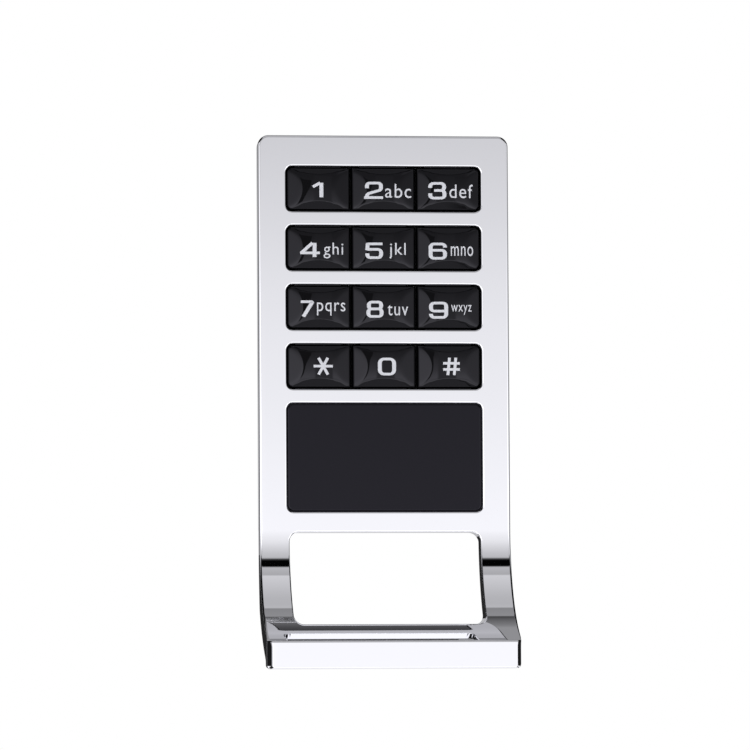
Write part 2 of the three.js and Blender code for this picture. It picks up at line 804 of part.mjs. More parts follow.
const coverRightX = bayRightX - seatGap;
const tongueBackY = caseInnerBackY + coverTongueThickness;
const rearScrewPlaces = [
  { x: chassisLeftX + chassisFlange, z: chassisLowZ + chassisFlange / 2 },
  { x: chassisLeftX + chassisFlange, z: chassisHighZ - chassisFlange / 2 },
  { x: pinionX, z: bracketMiddleZ },
];
const rearScrewHeadY = caseDepth - screwHeadHeight;

// A hole for a screw driven towards the front, with room for its head at the back.
function screwPassage({ x, z }, frontOfHole, headSeatY, backY) {
  return [
    rodY(screwRadius + seatGap, x, z, frontOfHole - overrun, headSeatY),
    rodY(screwHeadRadius + seatGap, x, z, headSeatY - seatGap, backY + overrun),
  ];
}

function rearCase() {
  const flangeX = pocketHalfWidth - fitGap;
  const flange = roundedRectangle(
    -flangeX,
    flangeX,
    pocketBottomZ + fitGap,
    pocketTopZ - fitGap,
    flangeCornerRadius,
  );
  const box = roundedRectangle(-caseHalfWidth, caseHalfWidth, caseBottomZ, caseTopZ, caseEdgeRadius);
  const shell = joined([slabY(flange, flangeFrontY, flangeBackY), slabY(box, flangeFrontY, caseDepth)]);
  const hollow = cutAway(shell, [
    block(-caseInnerX, caseInnerX, flangeFrontY - overrun, caseInnerBackY, caseInnerBottomZ, caseInnerTopZ),
  ]);
  const halfWall = caseWall / 2;
  const bayLeftX = -caseHalfWidth + halfWall;
  const bayBottomZ = caseBottomZ + halfWall;
  const bayBackY = caseInnerBackY + halfWall;
  const bay = joined([
    block(bayLeftX, dividerRightX, bayFloorFrontY, bayFloorBackY, bayBottomZ, bayTopZ),
    block(bayRightX, dividerRightX, bayFloorFrontY, bayBackY, bayBottomZ, bayTopZ),
    block(bayLeftX, dividerRightX, bayFloorFrontY, bayBackY, bayCeilingZ, bayTopZ),
  ]);
  const doorFrontY = caseInnerBackY - fitGap;
  const doorBottomZ = caseBottomZ - overrun;
  const grooveLeftX = -caseInnerX - coverTongue - fitGap;
  const grooveRightX = bayRightX + coverTongue + fitGap;
  const cellDoor = [
    block(-caseInnerX, bayRightX, doorFrontY, caseDepth + overrun, doorBottomZ, bayCeilingZ),
    block(grooveLeftX, grooveRightX, doorFrontY, tongueBackY + fitGap, doorBottomZ, bayCeilingZ),
  ];
  const tagHoles = [backCellY, frontCellY].map((y) => block(
    leftCellX - tagWidth / 2 - fitGap,
    leftCellX + tagWidth / 2 + fitGap,
    y - contactThickness / 2 - fitGap,
    y + contactThickness / 2 + fitGap,
    bayCeilingZ - overrun,
    bayTopZ + overrun,
  ));
  const boltHole = block(
    caseInnerX - overrun,
    caseHalfWidth + overrun,
    boltFrontY - fitGap,
    boltBackY + fitGap,
    boltBottomZ - fitGap,
    boltTopZ + fitGap,
  );
  const [flangeCutY0, flangeCutY1] = [flangeFrontY - overrun, flangeBackY + overrun];
  return geometryOf(cutAway(hollow.add(bay), [
    ...cellDoor,
    ...tagHoles,
    boltHole,
    ...insertPlaces.map(({ x, z }) => rodY(insertBossRadius + fitGap, x, z, flangeCutY0, flangeCutY1)),
    ...caseScrewPlaces.flatMap((at) => screwPassage(at, flangeFrontY, caseScrewHeadY, flangeBackY)),
    ...rearScrewPlaces.flatMap((at) => screwPassage(at, caseInnerBackY, rearScrewHeadY, caseDepth)),
  ]));
}

place('rear_case', rearCase(), caseBlack());

rearScrewPlaces.forEach(({ x, z }, index) => {
  place(`rear_screw_${index + 1}`, screw(rearScrewLength), steel(), x, rearScrewHeadY - rearScrewLength, z);
});

// Battery cover: a plate whose two tongues run in the case's grooves, with ribs to grip

function batteryCover() {
  const leftX = -caseInnerX + seatGap;
  const topZ = bayCeilingZ - fitGap;
  const ribX = (leftX + coverRightX) / 2;
  const firstRibZ = caseBottomZ + 2 * gripRibPitch;
  const [ribFrontY, ribBackY] = [caseDepth - gripRibHeight, caseDepth + gripRibHeight];
  const half = gripRibLength / 2;
  const ribs = Array.from({ length: gripRibs }, (_, rib) => {
    const z = firstRibZ + rib * gripRibPitch;
    return block(ribX - half, ribX + half, ribFrontY, ribBackY, z, z + gripRibWidth);
  });
  return geometryOf(joined([
    block(leftX, coverRightX, caseInnerBackY, caseDepth, caseBottomZ, topZ),
    block(leftX - coverTongue, coverRightX + coverTongue, caseInnerBackY, tongueBackY, caseBottomZ, topZ),
    ...ribs,
  ]));
}

place('battery_cover', batteryCover(), caseBlack());

// Cells: two deep and two wide, in turn nub up and nub down

function cell() {
  const profile = [
    new THREE.Vector2(0, 0),
    new THREE.Vector2(cellRadius, 0),
    new THREE.Vector2(cellRadius, cellLength),
    new THREE.Vector2(nubRadius, cellLength),
    new THREE.Vector2(nubRadius, cellLength + nubLength),
    new THREE.Vector2(0, cellLength + nubLength),
  ];
  return new THREE.LatheGeometry(profile, roundSides).rotateX(Math.PI / 2);
}

const cellPlaces = [
  { x: leftCellX, y: backCellY, nubUp: true },
  { x: rightCellX, y: backCellY, nubUp: false },
  { x: leftCellX, y: frontCellY, nubUp: false },
  { x: rightCellX, y: frontCellY, nubUp: true },
];
cellPlaces.forEach(({ x, y, nubUp }, index) => {
  const geometry = nubUp ? cell() : cell().rotateX(Math.PI).translate(0, 0, cellLength + nubLength);
  place(`battery_${index + 1}`, geometry, cellWrap(), x, y, nubUp ? raisedCellZ : lowCellZ);
});

// Contacts: strips that join two cells, and two plates with tags for the lead

function springCone(x, y, baseZ, direction) {
  const tipZ = baseZ + direction * springLength;
  if (direction > 0) return rodZ(springBaseRadius, springTipRadius, x, y, baseZ, tipZ, holeSides);
  return rodZ(springTipRadius, springBaseRadius, x, y, tipZ, baseZ, holeSides);
}

function crossLink(springX, y) {
  const half = contactWidth / 2;
  const topZ = lowContactZ + contactThickness;
  return geometryOf(joined([
    block(leftCellX - half, rightCellX + half, y - half, y + half, lowContactZ, topZ),
    springCone(springX, y, topZ - springWire / 2, 1),
  ]));
}

place('contact_link_rear', crossLink(leftCellX, backCellY), nickel());
place('contact_link_front', crossLink(rightCellX, frontCellY), nickel());

function deepLink() {
  const half = contactWidth / 2;
  const plate = block(
    rightCellX - half,
    rightCellX + half,
    frontCellY - half,
    backCellY + half,
    highContactZ,
    highContactZ + contactThickness,
  );
  return geometryOf(joined([plate, springCone(rightCellX, backCellY, highContactZ + springWire / 2, -1)]));
}

place('contact_link_right', deepLink(), nickel());

function endContact(y, sprung) {
  const half = contactWidth / 2;
  const topZ = highContactZ + contactThickness;
  const parts = [
    block(leftCellX - half, leftCellX + half, y - half, y + half, highContactZ, topZ),
    block(
      leftCellX - tagWidth / 2,
      leftCellX + tagWidth / 2,
      y - contactThickness / 2,
      y + contactThickness / 2,
      highContactZ + contactThickness / 2,
      bayTopZ + tagReach,
    ),
  ];
  if (sprung) parts.push(springCone(leftCellX, y, highContactZ + springWire / 2, -1));
  return geometryOf(joined(parts));
}

place('contact_plus', endContact(backCellY, false), nickel());
place('contact_minus', endContact(frontCellY, true), nickel());

// Bolt: a square bar with a chamfered nose and a rack along its tail, drawn from above

function bolt() {
  const halfAtTip = toothPitch / 4 - backlash - toothRise * Math.tan(Math.PI / 9);
  const halfAtRoot = toothPitch / 4 - backlash + toothFall * Math.tan(Math.PI / 9);
  const outline = new THREE.Shape();
  outline.moveTo(boltTailX, boltBackY);
  outline.lineTo(boltTailX, rackRootY);
  for (let tooth = 0; tooth < rackTeeth; tooth += 1) {
    const centre = pinionX + (tooth - 1 / 2) * toothPitch;
    outline.lineTo(centre - halfAtRoot, rackRootY);
    outline.lineTo(centre - halfAtTip, rackTipY);
    outline.lineTo(centre + halfAtTip, rackTipY);
    outline.lineTo(centre + halfAtRoot, rackRootY);
  }
  outline.lineTo(headStartX, rackRootY);
  outline.lineTo(headStartX, boltFrontY);
  outline.lineTo(boltNoseX - noseChamfer, boltFrontY);
  outline.lineTo(boltNoseX, boltFrontY + noseChamfer);
  outline.lineTo(boltNoseX, boltBackY - noseChamfer);
  outline.lineTo(boltNoseX - noseChamfer, boltBackY);
  outline.closePath();
  return slabZ(outline, -boltHeight / 2, boltHeight / 2);
}

place('bolt', bolt(), steel(), 0, 0, boltCentreHeight);

// Pinion in mesh with the rack: one tooth points straight at it. The bore has the shaft's flat.

function shaftOutline(radius, flat) {
  const reach = radius - flat;
  const angle = Math.acos(reach / radius);
  const outline = new THREE.Shape();
  outline.absarc(0, 0, radius, -Math.PI / 2 + angle, (3 * Math.PI) / 2 - angle);
  outline.closePath();
  return outline;
}

function pinion() {
  const wallAngle = Math.PI / 9;
  const halfAtTip = toothPitch / 4 - backlash - toothRise * Math.tan(wallAngle) * (3 / 4);
  const halfAtLine = toothPitch / 4 - backlash;
  const halfAtRoot = halfAtLine + rackClearance / 2;
  const rootRadius = pinionRadius - toothFall;
  const outline = new THREE.Shape();
  for (let tooth = 0; tooth < pinionTeeth; tooth += 1) {
    const centre = Math.PI / 2 + (2 * Math.PI * tooth) / pinionTeeth;
    const steps = [
      [rootRadius, -halfAtRoot],
      [pinionRadius, -halfAtLine],
      [pinionOuterRadius - seatGap, -halfAtTip],
      [pinionOuterRadius - seatGap, halfAtTip],
      [pinionRadius, halfAtLine],
      [rootRadius, halfAtRoot],
    ];
    for (const [radius, half] of steps) {
      const angle = centre + half / radius;
      const [x, y] = [radius * Math.cos(angle), radius * Math.sin(angle)];
      if (tooth === 0 && half === -halfAtRoot) outline.moveTo(x, y);
      else outline.lineTo(x, y);
    }
  }
  outline.closePath();
  outline.holes.push(shaftOutline(shaftRadius + shaftGap, shaftFlat));
  return slabZ(outline, -pinionHeight / 2, pinionHeight / 2, roundSides);
}

place('pinion', pinion(), brass(), pinionX, pinionY, boltCentreHeight);

const shaftBottomZ = gearboxTopZ - shaftSeat;
const shaftTopZ = boltTopZ - fitGap;
const shaft = slabZ(shaftOutline(shaftRadius, shaftFlat), shaftBottomZ, shaftTopZ, roundSides);
place('output_shaft', shaft, steel(), pinionX, pinionY, 0);

// Gear motor: gearbox with the shaft's bearing, motor can with its terminals, nylon bracket

function gearbox() {
  const [halfX, halfY] = [gearboxWidth / 2, gearboxDepth / 2];
  const body = joined([
    block(-halfX, halfX, -halfY, halfY, -gearboxHeight, 0),
    rodZ(gearboxBossRadius, gearboxBossRadius, 0, 0, -gearboxHeight / 2, gearboxBossHeight),
  ]);
  const boreRadius = shaftRadius + shaftGap;
  return geometryOf(cutAway(body, [
    rodZ(boreRadius, boreRadius, 0, 0, -shaftSeat - fitGap, overrun),
  ]));
}

place('gearbox', gearbox(), brass(), pinionX, pinionY, gearboxTopZ);

function motorCan() {
  const [radius, halfY] = [gearboxWidth / 2, gearboxDepth / 2];
  const round = solid(rodZ(radius, radius, 0, 0, 0, motorLength));
  const can = round.intersect(solid(block(-radius, radius, -halfY, halfY, 0, motorLength)));
  const halfTab = motorTabThickness / 2;
  const halfBlade = motorTabWidth / 2;
  const ends = [-1, 1].map((side) => {
    const x = (side * radius) / 2;
    return block(x - halfTab, x + halfTab, -halfBlade, halfBlade, -motorTabLength, motorLength / 4);
  });
  const bearing = rodZ(motorBearingRadius, motorBearingRadius, 0, 0, -motorBearingHeight, motorLength / 4);
  return geometryOf(can.add(joined([bearing, ...ends])));
}

place('motor_can', motorCan(), steel(), pinionX, pinionY, motorBottomZ);

function motorBracket() {
  const pocketX = gearboxWidth / 2 + fitGap;
  const pocketY = gearboxDepth / 2 + fitGap;
  const halfHeight = bracketHeight / 2;
  const backY = caseInnerBackY - seatGap - pinionY;
  const outer = solid(block(
    -pocketX - bracketWall,
    pocketX + bracketWall,
    -pocketY - bracketWall,
    backY,
    -halfHeight,
    halfHeight,
  ));
  return geometryOf(cutAway(outer, [
    block(-pocketX, pocketX, -pocketY, pocketY, -halfHeight - overrun, halfHeight + overrun),
    rodY(screwRadius + seatGap, 0, 0, pocketY + bracketWall, backY + overrun),
  ]));
}

place('motor_bracket', motorBracket(), nylon(), pinionX, pinionY, bracketMiddleZ);

// Bolt chassis: a channel round the bolt's top, bottom and back, closed in front by the keeper

const keeperScrewPlaces = [chassisLowZ + chassisFlange / 2, chassisHighZ - chassisFlange / 2];

function boltChassis() {
  const channel = joined([
    block(chassisLeftX, chassisRightX, chassisBackY - chassisPlate, chassisBackY, chassisLowZ, chassisHighZ),
    block(chassisLeftX, chassisRightX, boltFrontY, chassisBackY, chassisLowZ, chassisLowZ + chassisFlange),
    block(chassisLeftX, chassisRightX, boltFrontY, chassisBackY, chassisHighZ - chassisFlange, chassisHighZ),
  ]);
  const hole = screwRadius + seatGap;
  const rearTipY = rearScrewHeadY - rearScrewLength - fitGap;
  const keeperTipY = boltFrontY + keeperScrewLength;
  return geometryOf(cutAway(channel, [
    ...keeperScrewPlaces.map((z) => rodY(hole, keeperScrewX, z, boltFrontY - overrun, keeperTipY)),
    ...rearScrewPlaces.slice(0, 2).map(({ x, z }) => rodY(hole, x, z, rearTipY, caseInnerBackY)),
  ]));
}

place('bolt_chassis', boltChassis(), steel());

function boltKeeper() {
  const bar = block(keeperLeftX, chassisRightX, keeperFrontY, keeperBackY, chassisLowZ, chassisHighZ);
  return geometryOf(cutAway(solid(bar), keeperScrewPlaces.map((z) => (
    rodY(screwRadius + seatGap, keeperScrewX, z, keeperFrontY - overrun, keeperBackY + overrun)
  ))));
}

place('bolt_keeper', boltKeeper(), steel());

keeperScrewPlaces.forEach((z, index) => {
  const geometry = screw(keeperScrewLength).rotateX(Math.PI);
  const tipY = keeperFrontY - seatGap + keeperScrewLength;
  place(`keeper_screw_${index + 1}`, geometry, steel(), keeperScrewX, tipY, z);
});

// Leads inside the case, along routes chosen by hand

const motorLeadRoute = [
  new THREE.Vector3(15.1, 3.4, 57.1),
  new THREE.Vector3(15.1, 6.6, 56),
  new THREE.Vector3(15.3, 8, 50),
  new THREE.Vector3(15.1, 8.6, 42),
  new THREE.Vector3(14.6, 10, 34),
  new THREE.Vector3(13.7, 13.6, 27.4),
  new THREE.Vector3(12.9, 17.6, 24.3),
  new THREE.Vector3(12.7, 19.9, 25.2),
  new THREE.Vector3(12.7, 20.1, 27.6),
];
const batteryLeadRoute = [
  new THREE.Vector3(10.6, 3.4, 57.1),
  new THREE.Vector3(9.8, 6, 57.6),
  new THREE.Vector3(5, 7, 60),
  new THREE.Vector3(-3, 7, 65),
  new THREE.Vector3(-11, 7.2, 71),
  new THREE.Vector3(-16, 8.4, 74.6),
  new THREE.Vector3(-18.2, 12, 75.8),
  new THREE.Vector3(-18.45, 17, 75.9),
  new THREE.Vector3(-18.45, 23, 75.9),
  new THREE.Vector3(-18.45, 29, 75.9),
];
place('motor_lead', lead(motorLeadRoute), rubber());
place('battery_lead', lead(batteryLeadRoute), rubber());

export default lock;
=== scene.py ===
"""An electronic cabinet lock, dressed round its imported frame.

Metres throughout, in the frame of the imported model: X to the right seen from the front, Y into the
door, Z up. Sizes that a maker would write in millimetres are written so and multiplied by MM.
"""

import json
import logging
import math
from collections.abc import Callable, Sequence
from dataclasses import dataclass, field
from enum import Enum
from functools import cache
from typing import Any

import bpy
import numpy as np
from mathutils import Euler, Matrix, Vector
from numpy.typing import NDArray

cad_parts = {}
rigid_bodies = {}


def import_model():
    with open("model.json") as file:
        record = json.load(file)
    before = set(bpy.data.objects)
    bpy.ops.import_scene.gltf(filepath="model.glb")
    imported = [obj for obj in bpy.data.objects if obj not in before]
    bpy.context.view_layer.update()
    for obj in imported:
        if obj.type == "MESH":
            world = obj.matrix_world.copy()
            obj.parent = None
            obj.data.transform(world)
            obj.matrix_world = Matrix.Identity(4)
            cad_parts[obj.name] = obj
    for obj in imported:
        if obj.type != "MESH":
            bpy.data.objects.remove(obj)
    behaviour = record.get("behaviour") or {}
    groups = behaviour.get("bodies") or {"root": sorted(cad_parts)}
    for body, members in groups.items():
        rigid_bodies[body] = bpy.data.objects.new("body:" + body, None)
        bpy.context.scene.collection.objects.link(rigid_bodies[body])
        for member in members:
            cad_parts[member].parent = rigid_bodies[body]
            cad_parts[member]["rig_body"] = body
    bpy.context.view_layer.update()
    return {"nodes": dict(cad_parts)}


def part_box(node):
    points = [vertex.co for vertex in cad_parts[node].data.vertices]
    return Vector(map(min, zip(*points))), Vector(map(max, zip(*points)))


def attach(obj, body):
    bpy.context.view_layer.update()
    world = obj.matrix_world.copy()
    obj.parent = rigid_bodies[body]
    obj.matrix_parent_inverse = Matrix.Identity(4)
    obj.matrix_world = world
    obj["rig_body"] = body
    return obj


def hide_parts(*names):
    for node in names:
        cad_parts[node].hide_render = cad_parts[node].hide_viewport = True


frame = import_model()

log = logging.getLogger("cabinet_lock")

MM = 0.001
QUARTER = math.pi / 2
TURN = 2 * math.pi
IMAGE_PIXELS = 750
# The sine at which a surface over a plane counts as upright.
STEEPEST = 0.999
# The depth of a direction that lies in the plane of X and Z.
FLAT = np.array(0.0)
# A vector shorter than this has no direction.
NO_LENGTH = 1e-15

INSERT_NODES = [f"thread_insert_{k}" for k in range(1, 5)]
SCREW_COUNTS = {"board": 2, "case": 4, "rear": 3, "keeper": 2}
SCREW_NODES = [f"{kind}_screw_{k + 1}" for kind, count in SCREW_COUNTS.items() for k in range(count)]

Array = NDArray[np.float64]
Pair = tuple[float, float]
Material = bpy.types.Material
Socket = bpy.types.NodeSocket
Tree = bpy.types.NodeTree


def unit(vectors: Array) -> Array:
    """Every vector of an array divided by its own length, with a zero vector left as it is."""
    length = np.linalg.norm(vectors, axis=-1, keepdims=True)
    return vectors / np.where(length < NO_LENGTH, 1.0, length)


def corners_of(node: str) -> tuple[Array, Array]:
    """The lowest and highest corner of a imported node, as arrays."""
    low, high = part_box(node)
    return np.array(low), np.array(high)


def middle_of(node: str) -> Array:
    """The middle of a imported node's box."""
    low, high = corners_of(node)
    return (low + high) / 2


def round_angles(sides: int) -> Array:
    """Angles once round a circle, evenly spaced."""
    return np.arange(sides) * (TURN / sides)


def length_along(path: Array) -> Array:
    """How far along a path each of its points lies."""
    return np.concatenate([[0], np.cumsum(np.linalg.norm(np.diff(path, axis=0), axis=1))])


def ease(share: Array) -> Array:
    """A smooth cubic of a share s from 0 to 1: 3 * s ** 2 - 2 * s ** 3."""
    return share * share * (3 - 2 * share)


class Lie(Enum):
    """Which axes of the frame an outline's two directions and its thickness follow."""

    FACING_FRONT = (0, 2, 1)
    FACING_UP = (0, 1, 2)


def lay(across: Array, up: Array, through: Array, lie: Lie) -> Array:
    """Puts three coordinates on the frame's axes.

    Args:
        across: the outline's first direction.
        up: the outline's second direction.
        through: the direction of its thickness.
        lie: which axes these are.

    Returns:
        Points or vectors with a last axis of three.
    """
    across, up, through = np.broadcast_arrays(across, up, through)
    placed = np.empty(across.shape + (3,))
    for axis, values in zip(lie.value, (across, up, through)):
        placed[..., axis] = values
    return placed


def upright(x: Array, z: Array, y: Array) -> Array:
    """Points or vectors from X, Z and Y, for surfaces that lie over the plane of X and Z."""
    return lay(x, z, y, Lie.FACING_FRONT)


class Skin:
    """Grids of points, gathered into one welded mesh whose face corners keep their grid's normals."""

    WELD = 1e-6
    OFF_CELL = 0.371e-6

    def __init__(self) -> None:
        """Starts with nothing in it."""
        self.points: list[Array] = []
        self.normals: list[Array] = []
        self.faces: list[tuple[int, ...]] = []
        self.slots: list[int] = []
        self.count = 0

    def _take(self, points: Array, normals: Array) -> Array:
        """Stores points with their normals and returns their numbers, in the points' own shape."""
        numbers = self.count + np.arange(points[..., 0].size).reshape(points.shape[:-1])
        self.points.append(points.reshape(-1, 3))
        self.normals.append(np.broadcast_to(normals, points.shape).reshape(-1, 3))
        self.count += numbers.size
        return numbers

    def grid(self, points: Array, normals: Array, wrap: bool = False, slot: int = 0) -> None:
        """Adds the quads between neighbouring points of a grid, each turned to face along its normals.

        Args:
            points: rows by columns by three.
            normals: the outward normal at each point.
            wrap: whether the last column joins the first.
            slot: the material slot of these faces.
        """
        numbers = self._take(points, normals)
        flat, facing = points, np.broadcast_to(normals, points.shape)
        if wrap:
            numbers, flat, facing = (np.concatenate([a, a[:, :1]], axis=1) for a in (numbers, flat, facing))
        quads = np.stack([numbers[:-1, :-1], numbers[:-1, 1:], numbers[1:, 1:], numbers[1:, :-1]], axis=-1)
        area = np.cross(flat[1:, 1:] - flat[:-1, :-1], flat[1:, :-1] - flat[:-1, 1:])
        mean = facing[:-1, :-1] + facing[:-1, 1:] + facing[1:, 1:] + facing[1:, :-1]
        backward = np.sum(area * mean, axis=-1) < 0
        quads[backward] = quads[backward][:, ::-1]
        self.faces.extend(map(tuple, quads.reshape(-1, 4).tolist()))
        self.slots.extend([slot] * (quads.size // 4))

    def cap(self, ring: Array, normal: Sequence[float], slot: int = 0) -> None:
        """Adds one flat face over a ring of points, turned to face along the normal."""
        facing = np.array(normal, float)
        following = np.roll(ring, -1, axis=0)
        area = np.cross(ring, following).sum(axis=0)
        if area @ facing < 0:
            ring = ring[::-1]
        numbers = self._take(ring, facing)
        self.faces.append(tuple(numbers.tolist()))
        self.slots.append(slot)

    def mesh(self, name: str) -> bpy.types.Mesh:
        """Welds what was gathered and returns it as a mesh with its own corner normals."""
        points, normals = np.concatenate(self.points), np.concatenate(self.normals)
        cells = np.floor((points + self.OFF_CELL) / self.WELD).astype(np.int64)
        _, first, welded = np.unique(cells, axis=0, return_index=True, return_inverse=True)
        welded = welded.ravel()
        faces, slots, facing = [], [], []
        for face, slot in zip(self.faces, self.slots):
            numbers = [(welded[n], n) for n in face]
            kept = [pair for k, pair in enumerate(numbers) if pair[0] != numbers[k - 1][0]]
            if len(kept) > 2:
                faces.append([int(pair[0]) for pair in kept])
                facing.extend(pair[1] for pair in kept)
                slots.append(slot)
        made = bpy.data.meshes.new(name)
        made.from_pydata(points[first].tolist(), [], faces)
        made.polygons.foreach_set("use_smooth", [True] * len(faces))
        made.polygons.foreach_set("material_index", slots)
        made.normals_split_custom_set(unit(normals[facing]).tolist())
        made.update()
        return made


def new_object(name: str, data: bpy.types.ID) -> bpy.types.Object:
    """Makes an object of some data and adds it to the scene."""
    made = bpy.data.objects.new(name, data)
    bpy.context.scene.collection.objects.link(made)
    return made


def piece(
    name: str,
    shape: Skin | bpy.types.Mesh,
    finishes: Sequence["Finish"],
    node: str,
    replaces: bool = True,
) -> None:
    """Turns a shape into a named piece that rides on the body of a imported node.

    Args:
        name: the piece's own name.
        shape: what was gathered in a skin, or a mesh.
        finishes: one for each slot number that the faces use.
        node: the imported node.
        replaces: whether the piece stands for the node.
    """
    data = shape.mesh(name) if isinstance(shape, Skin) else shape
    for finish in finishes:
        data.materials.append(finish.material())
    made = new_object(name, data)
    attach(made, frame["nodes"][node]["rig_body"])
    if replaces:
        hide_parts(node)
    log.info("%s: %d faces", name, len(data.polygons))


# Outlines and profiles


def rounded_path(
    corners: Sequence[Sequence[float]],
    radii: float | Sequence[float],
    steps: int = 4,
    closed: bool = True,
) -> tuple[Array, Array]:
    """A path through corners, each rounded by an arc that touches both its sides.

    At a corner where the path turns by an angle t, the arc starts r * tan(t / 2) before it. Its centre
    lies r to the side that the path turns to, and the path's right-hand normal turns with it. A radius
    of zero leaves points that share a place and differ in normal, which is a crease.

    Args:
        corners: the corners in order, as pairs.
        radii: one radius for all corners, or one each.
        steps: how many pieces an arc has.
        closed: whether the last corner joins the first.

    Returns:
        The points, and the normal to the right of the way the path runs at each of them.
    """
    at = np.array(corners, float)
    arc = np.broadcast_to(np.array(radii, float), (len(at),))[:, None, None]
    before, after = at - np.roll(at, 1, axis=0), np.roll(at, -1, axis=0) - at
    if not closed:
        before[0], after[-1] = after[0], before[-1]
    before, after = unit(before), unit(after)
    crossed = before[:, 0] * after[:, 1] - before[:, 1] * after[:, 0]
    turn = np.arctan2(crossed, np.sum(before * after, axis=1))
    start = at - before * (arc[:, 0] * np.tan(np.abs(turn) / 2)[:, None])
    right = np.arctan2(-before[:, 0], before[:, 1])
    angle = right[:, None] + turn[:, None] * np.linspace(0, 1, steps + 1)
    normals = np.stack([np.cos(angle), np.sin(angle)], axis=-1)
    side = np.sign(turn)[:, None, None]
    points = start[:, None] + side * arc * (normals - normals[:, :1])
    return points.reshape(-1, 2), normals.reshape(-1, 2)


def rounded_box(low: Array, high: Array, radius: float, steps: int = 4) -> tuple[Array, Array]:
    """The outline of a rectangle with rounded corners, anticlockwise, with its outward normals."""
    corners = [(high[0], low[1]), (high[0], high[1]), (low[0], high[1]), (low[0], low[1])]
    return rounded_path(corners, radius, steps)


def slab(
    skin: Skin, outline: tuple[Array, Array], span: Pair, lie: Lie, edge: float, steps: int = 2
) -> None:
    """Carries a flat plate's edge profile round an outline and closes both faces.

    The profile is a wall with a quarter circle at each end: at angle t it lies edge * (1 - cos t)
    inside the outline and edge * (1 - sin t) short of the face.

    Args:
        skin: takes the faces.
        outline: points and outward normals.
        span: where the plate starts and ends through its thickness.
        lie: how the outline lies in the frame.
        edge: the radius of both edges.
        steps: how many pieces an edge's arc has.
    """
    points, normals = outline
    angle = np.linspace(QUARTER, 0, steps + 1)
    inset, short = edge * (1 - np.cos(angle)), edge * (1 - np.sin(angle))
    heights = np.concatenate([span[0] + short, span[1] - short[::-1]])
    insets = np.concatenate([inset, inset[::-1]])
    flat_share = np.concatenate([np.cos(angle), np.cos(angle[::-1])])[:, None]
    rise = np.concatenate([-np.sin(angle), np.sin(angle[::-1])])[:, None]
    edges = points[None] - insets[:, None, None] * normals[None]
    wall = lay(edges[..., 0], edges[..., 1], heights[:, None], lie)
    skin.grid(wall, lay(flat_share * normals[:, 0], flat_share * normals[:, 1], rise, lie), wrap=True)
    through = lay(FLAT, FLAT, FLAT + 1, lie)
    skin.cap(wall[0], -through)
    skin.cap(wall[-1], through)


def lathe(
    skin: Skin, profile: tuple[Array, Array], centre: Pair, lie: Lie, sides: int, slot: int = 0
) -> None:
    """Turns a profile about an axis: each point of it goes round a circle of its own radius.

    Args:
        skin: takes the faces.
        profile: points as (radius, height), run so that the outside is on their right.
        centre: where the axis is, in the outline's two directions.
        lie: the axis is the lie's thickness direction.
        sides: how many pieces the circle has.
        slot: the material slot.
    """
    points, normals = profile
    angle = round_angles(sides)
    radius, height = points[:, :1], points[:, 1:]
    placed = lay(centre[0] + radius * np.cos(angle), centre[1] + radius * np.sin(angle), height, lie)
    facing = lay(normals[:, :1] * np.cos(angle), normals[:, :1] * np.sin(angle), normals[:, 1:], lie)
    skin.grid(placed, facing, wrap=True, slot=slot)


def tube(skin: Skin, path: Array, across: Array, radius: float, sides: int, slot: int = 0) -> None:
    """Carries a circle along a path, square to it, and closes both ends.

    The circle's two axes are the unit vector that is square to the path and nearest to `across`, and
    the one square to both.

    Args:
        skin: takes the faces.
        path: the centre line's points.
        across: a direction for each point that isn't along the path.
        radius: the tube's radius.
        sides: how many pieces the circle has.
        slot: the material slot.
    """
    along = unit(np.gradient(path, axis=0))
    first = unit(across - along * np.sum(across * along, axis=1, keepdims=True))
    second = np.cross(along, first)
    angle = round_angles(sides)
    facing = first[:, None] * np.cos(angle)[:, None] + second[:, None] * np.sin(angle)[:, None]
    ring = path[:, None] + radius * facing
    skin.grid(ring, facing, wrap=True, slot=slot)
    skin.cap(ring[0], -along[0], slot)
    skin.cap(ring[-1], along[-1], slot)


def through_points(route: Array, per_span: int) -> Array:
    """A smooth curve through given points: a cubic for each span between two of them.

    The step in the parameter between two points is the square root of their distance. The cubic's end
    slopes come from the neighbouring points with those steps.

    Args:
        route: the points.
        per_span: how many pieces each span gets.

    Returns:
        Points along the curve.
    """
    ends = np.vstack([2 * route[0] - route[1], route, 2 * route[-1] - route[-2]])
    gaps = np.sqrt(np.linalg.norm(np.diff(ends, axis=0), axis=1, keepdims=True))
    p0, p1, p2, p3 = ends[:-3], ends[1:-2], ends[2:-1], ends[3:]
    d0, d1, d2 = gaps[:-2], gaps[1:-1], gaps[2:]
    slope1 = d1 * ((p1 - p0) / d0 - (p2 - p0) / (d0 + d1) + (p2 - p1) / d1)
    slope2 = d1 * ((p2 - p1) / d1 - (p3 - p1) / (d1 + d2) + (p3 - p2) / d2)
    t = (np.arange(per_span) / per_span)[None, :, None]
    p1, p2, slope1, slope2 = (a[:, None] for a in (p1, p2, slope1, slope2))
    square, cube = 3 * (p2 - p1) - 2 * slope1 - slope2, 2 * (p1 - p2) + slope1 + slope2
    curve = p1 + t * slope1 + t**2 * square + t**3 * cube
    return np.vstack([curve.reshape(-1, 3), route[-1:]])


# Finishes


def linear(shade: str) -> tuple[float, float, float, float]:
    """Turns an sRGB hex colour into the linear values that a shader takes."""
    parts = np.array([int(shade[k : k + 2], 16) for k in (1, 3, 5)]) / 255
    low, high = parts / 12.92, ((parts + 0.055) / 1.055) ** 2.4
    red, green, blue = np.where(parts <= 0.04045, low, high)
    return float(red), float(green), float(blue), 1.0


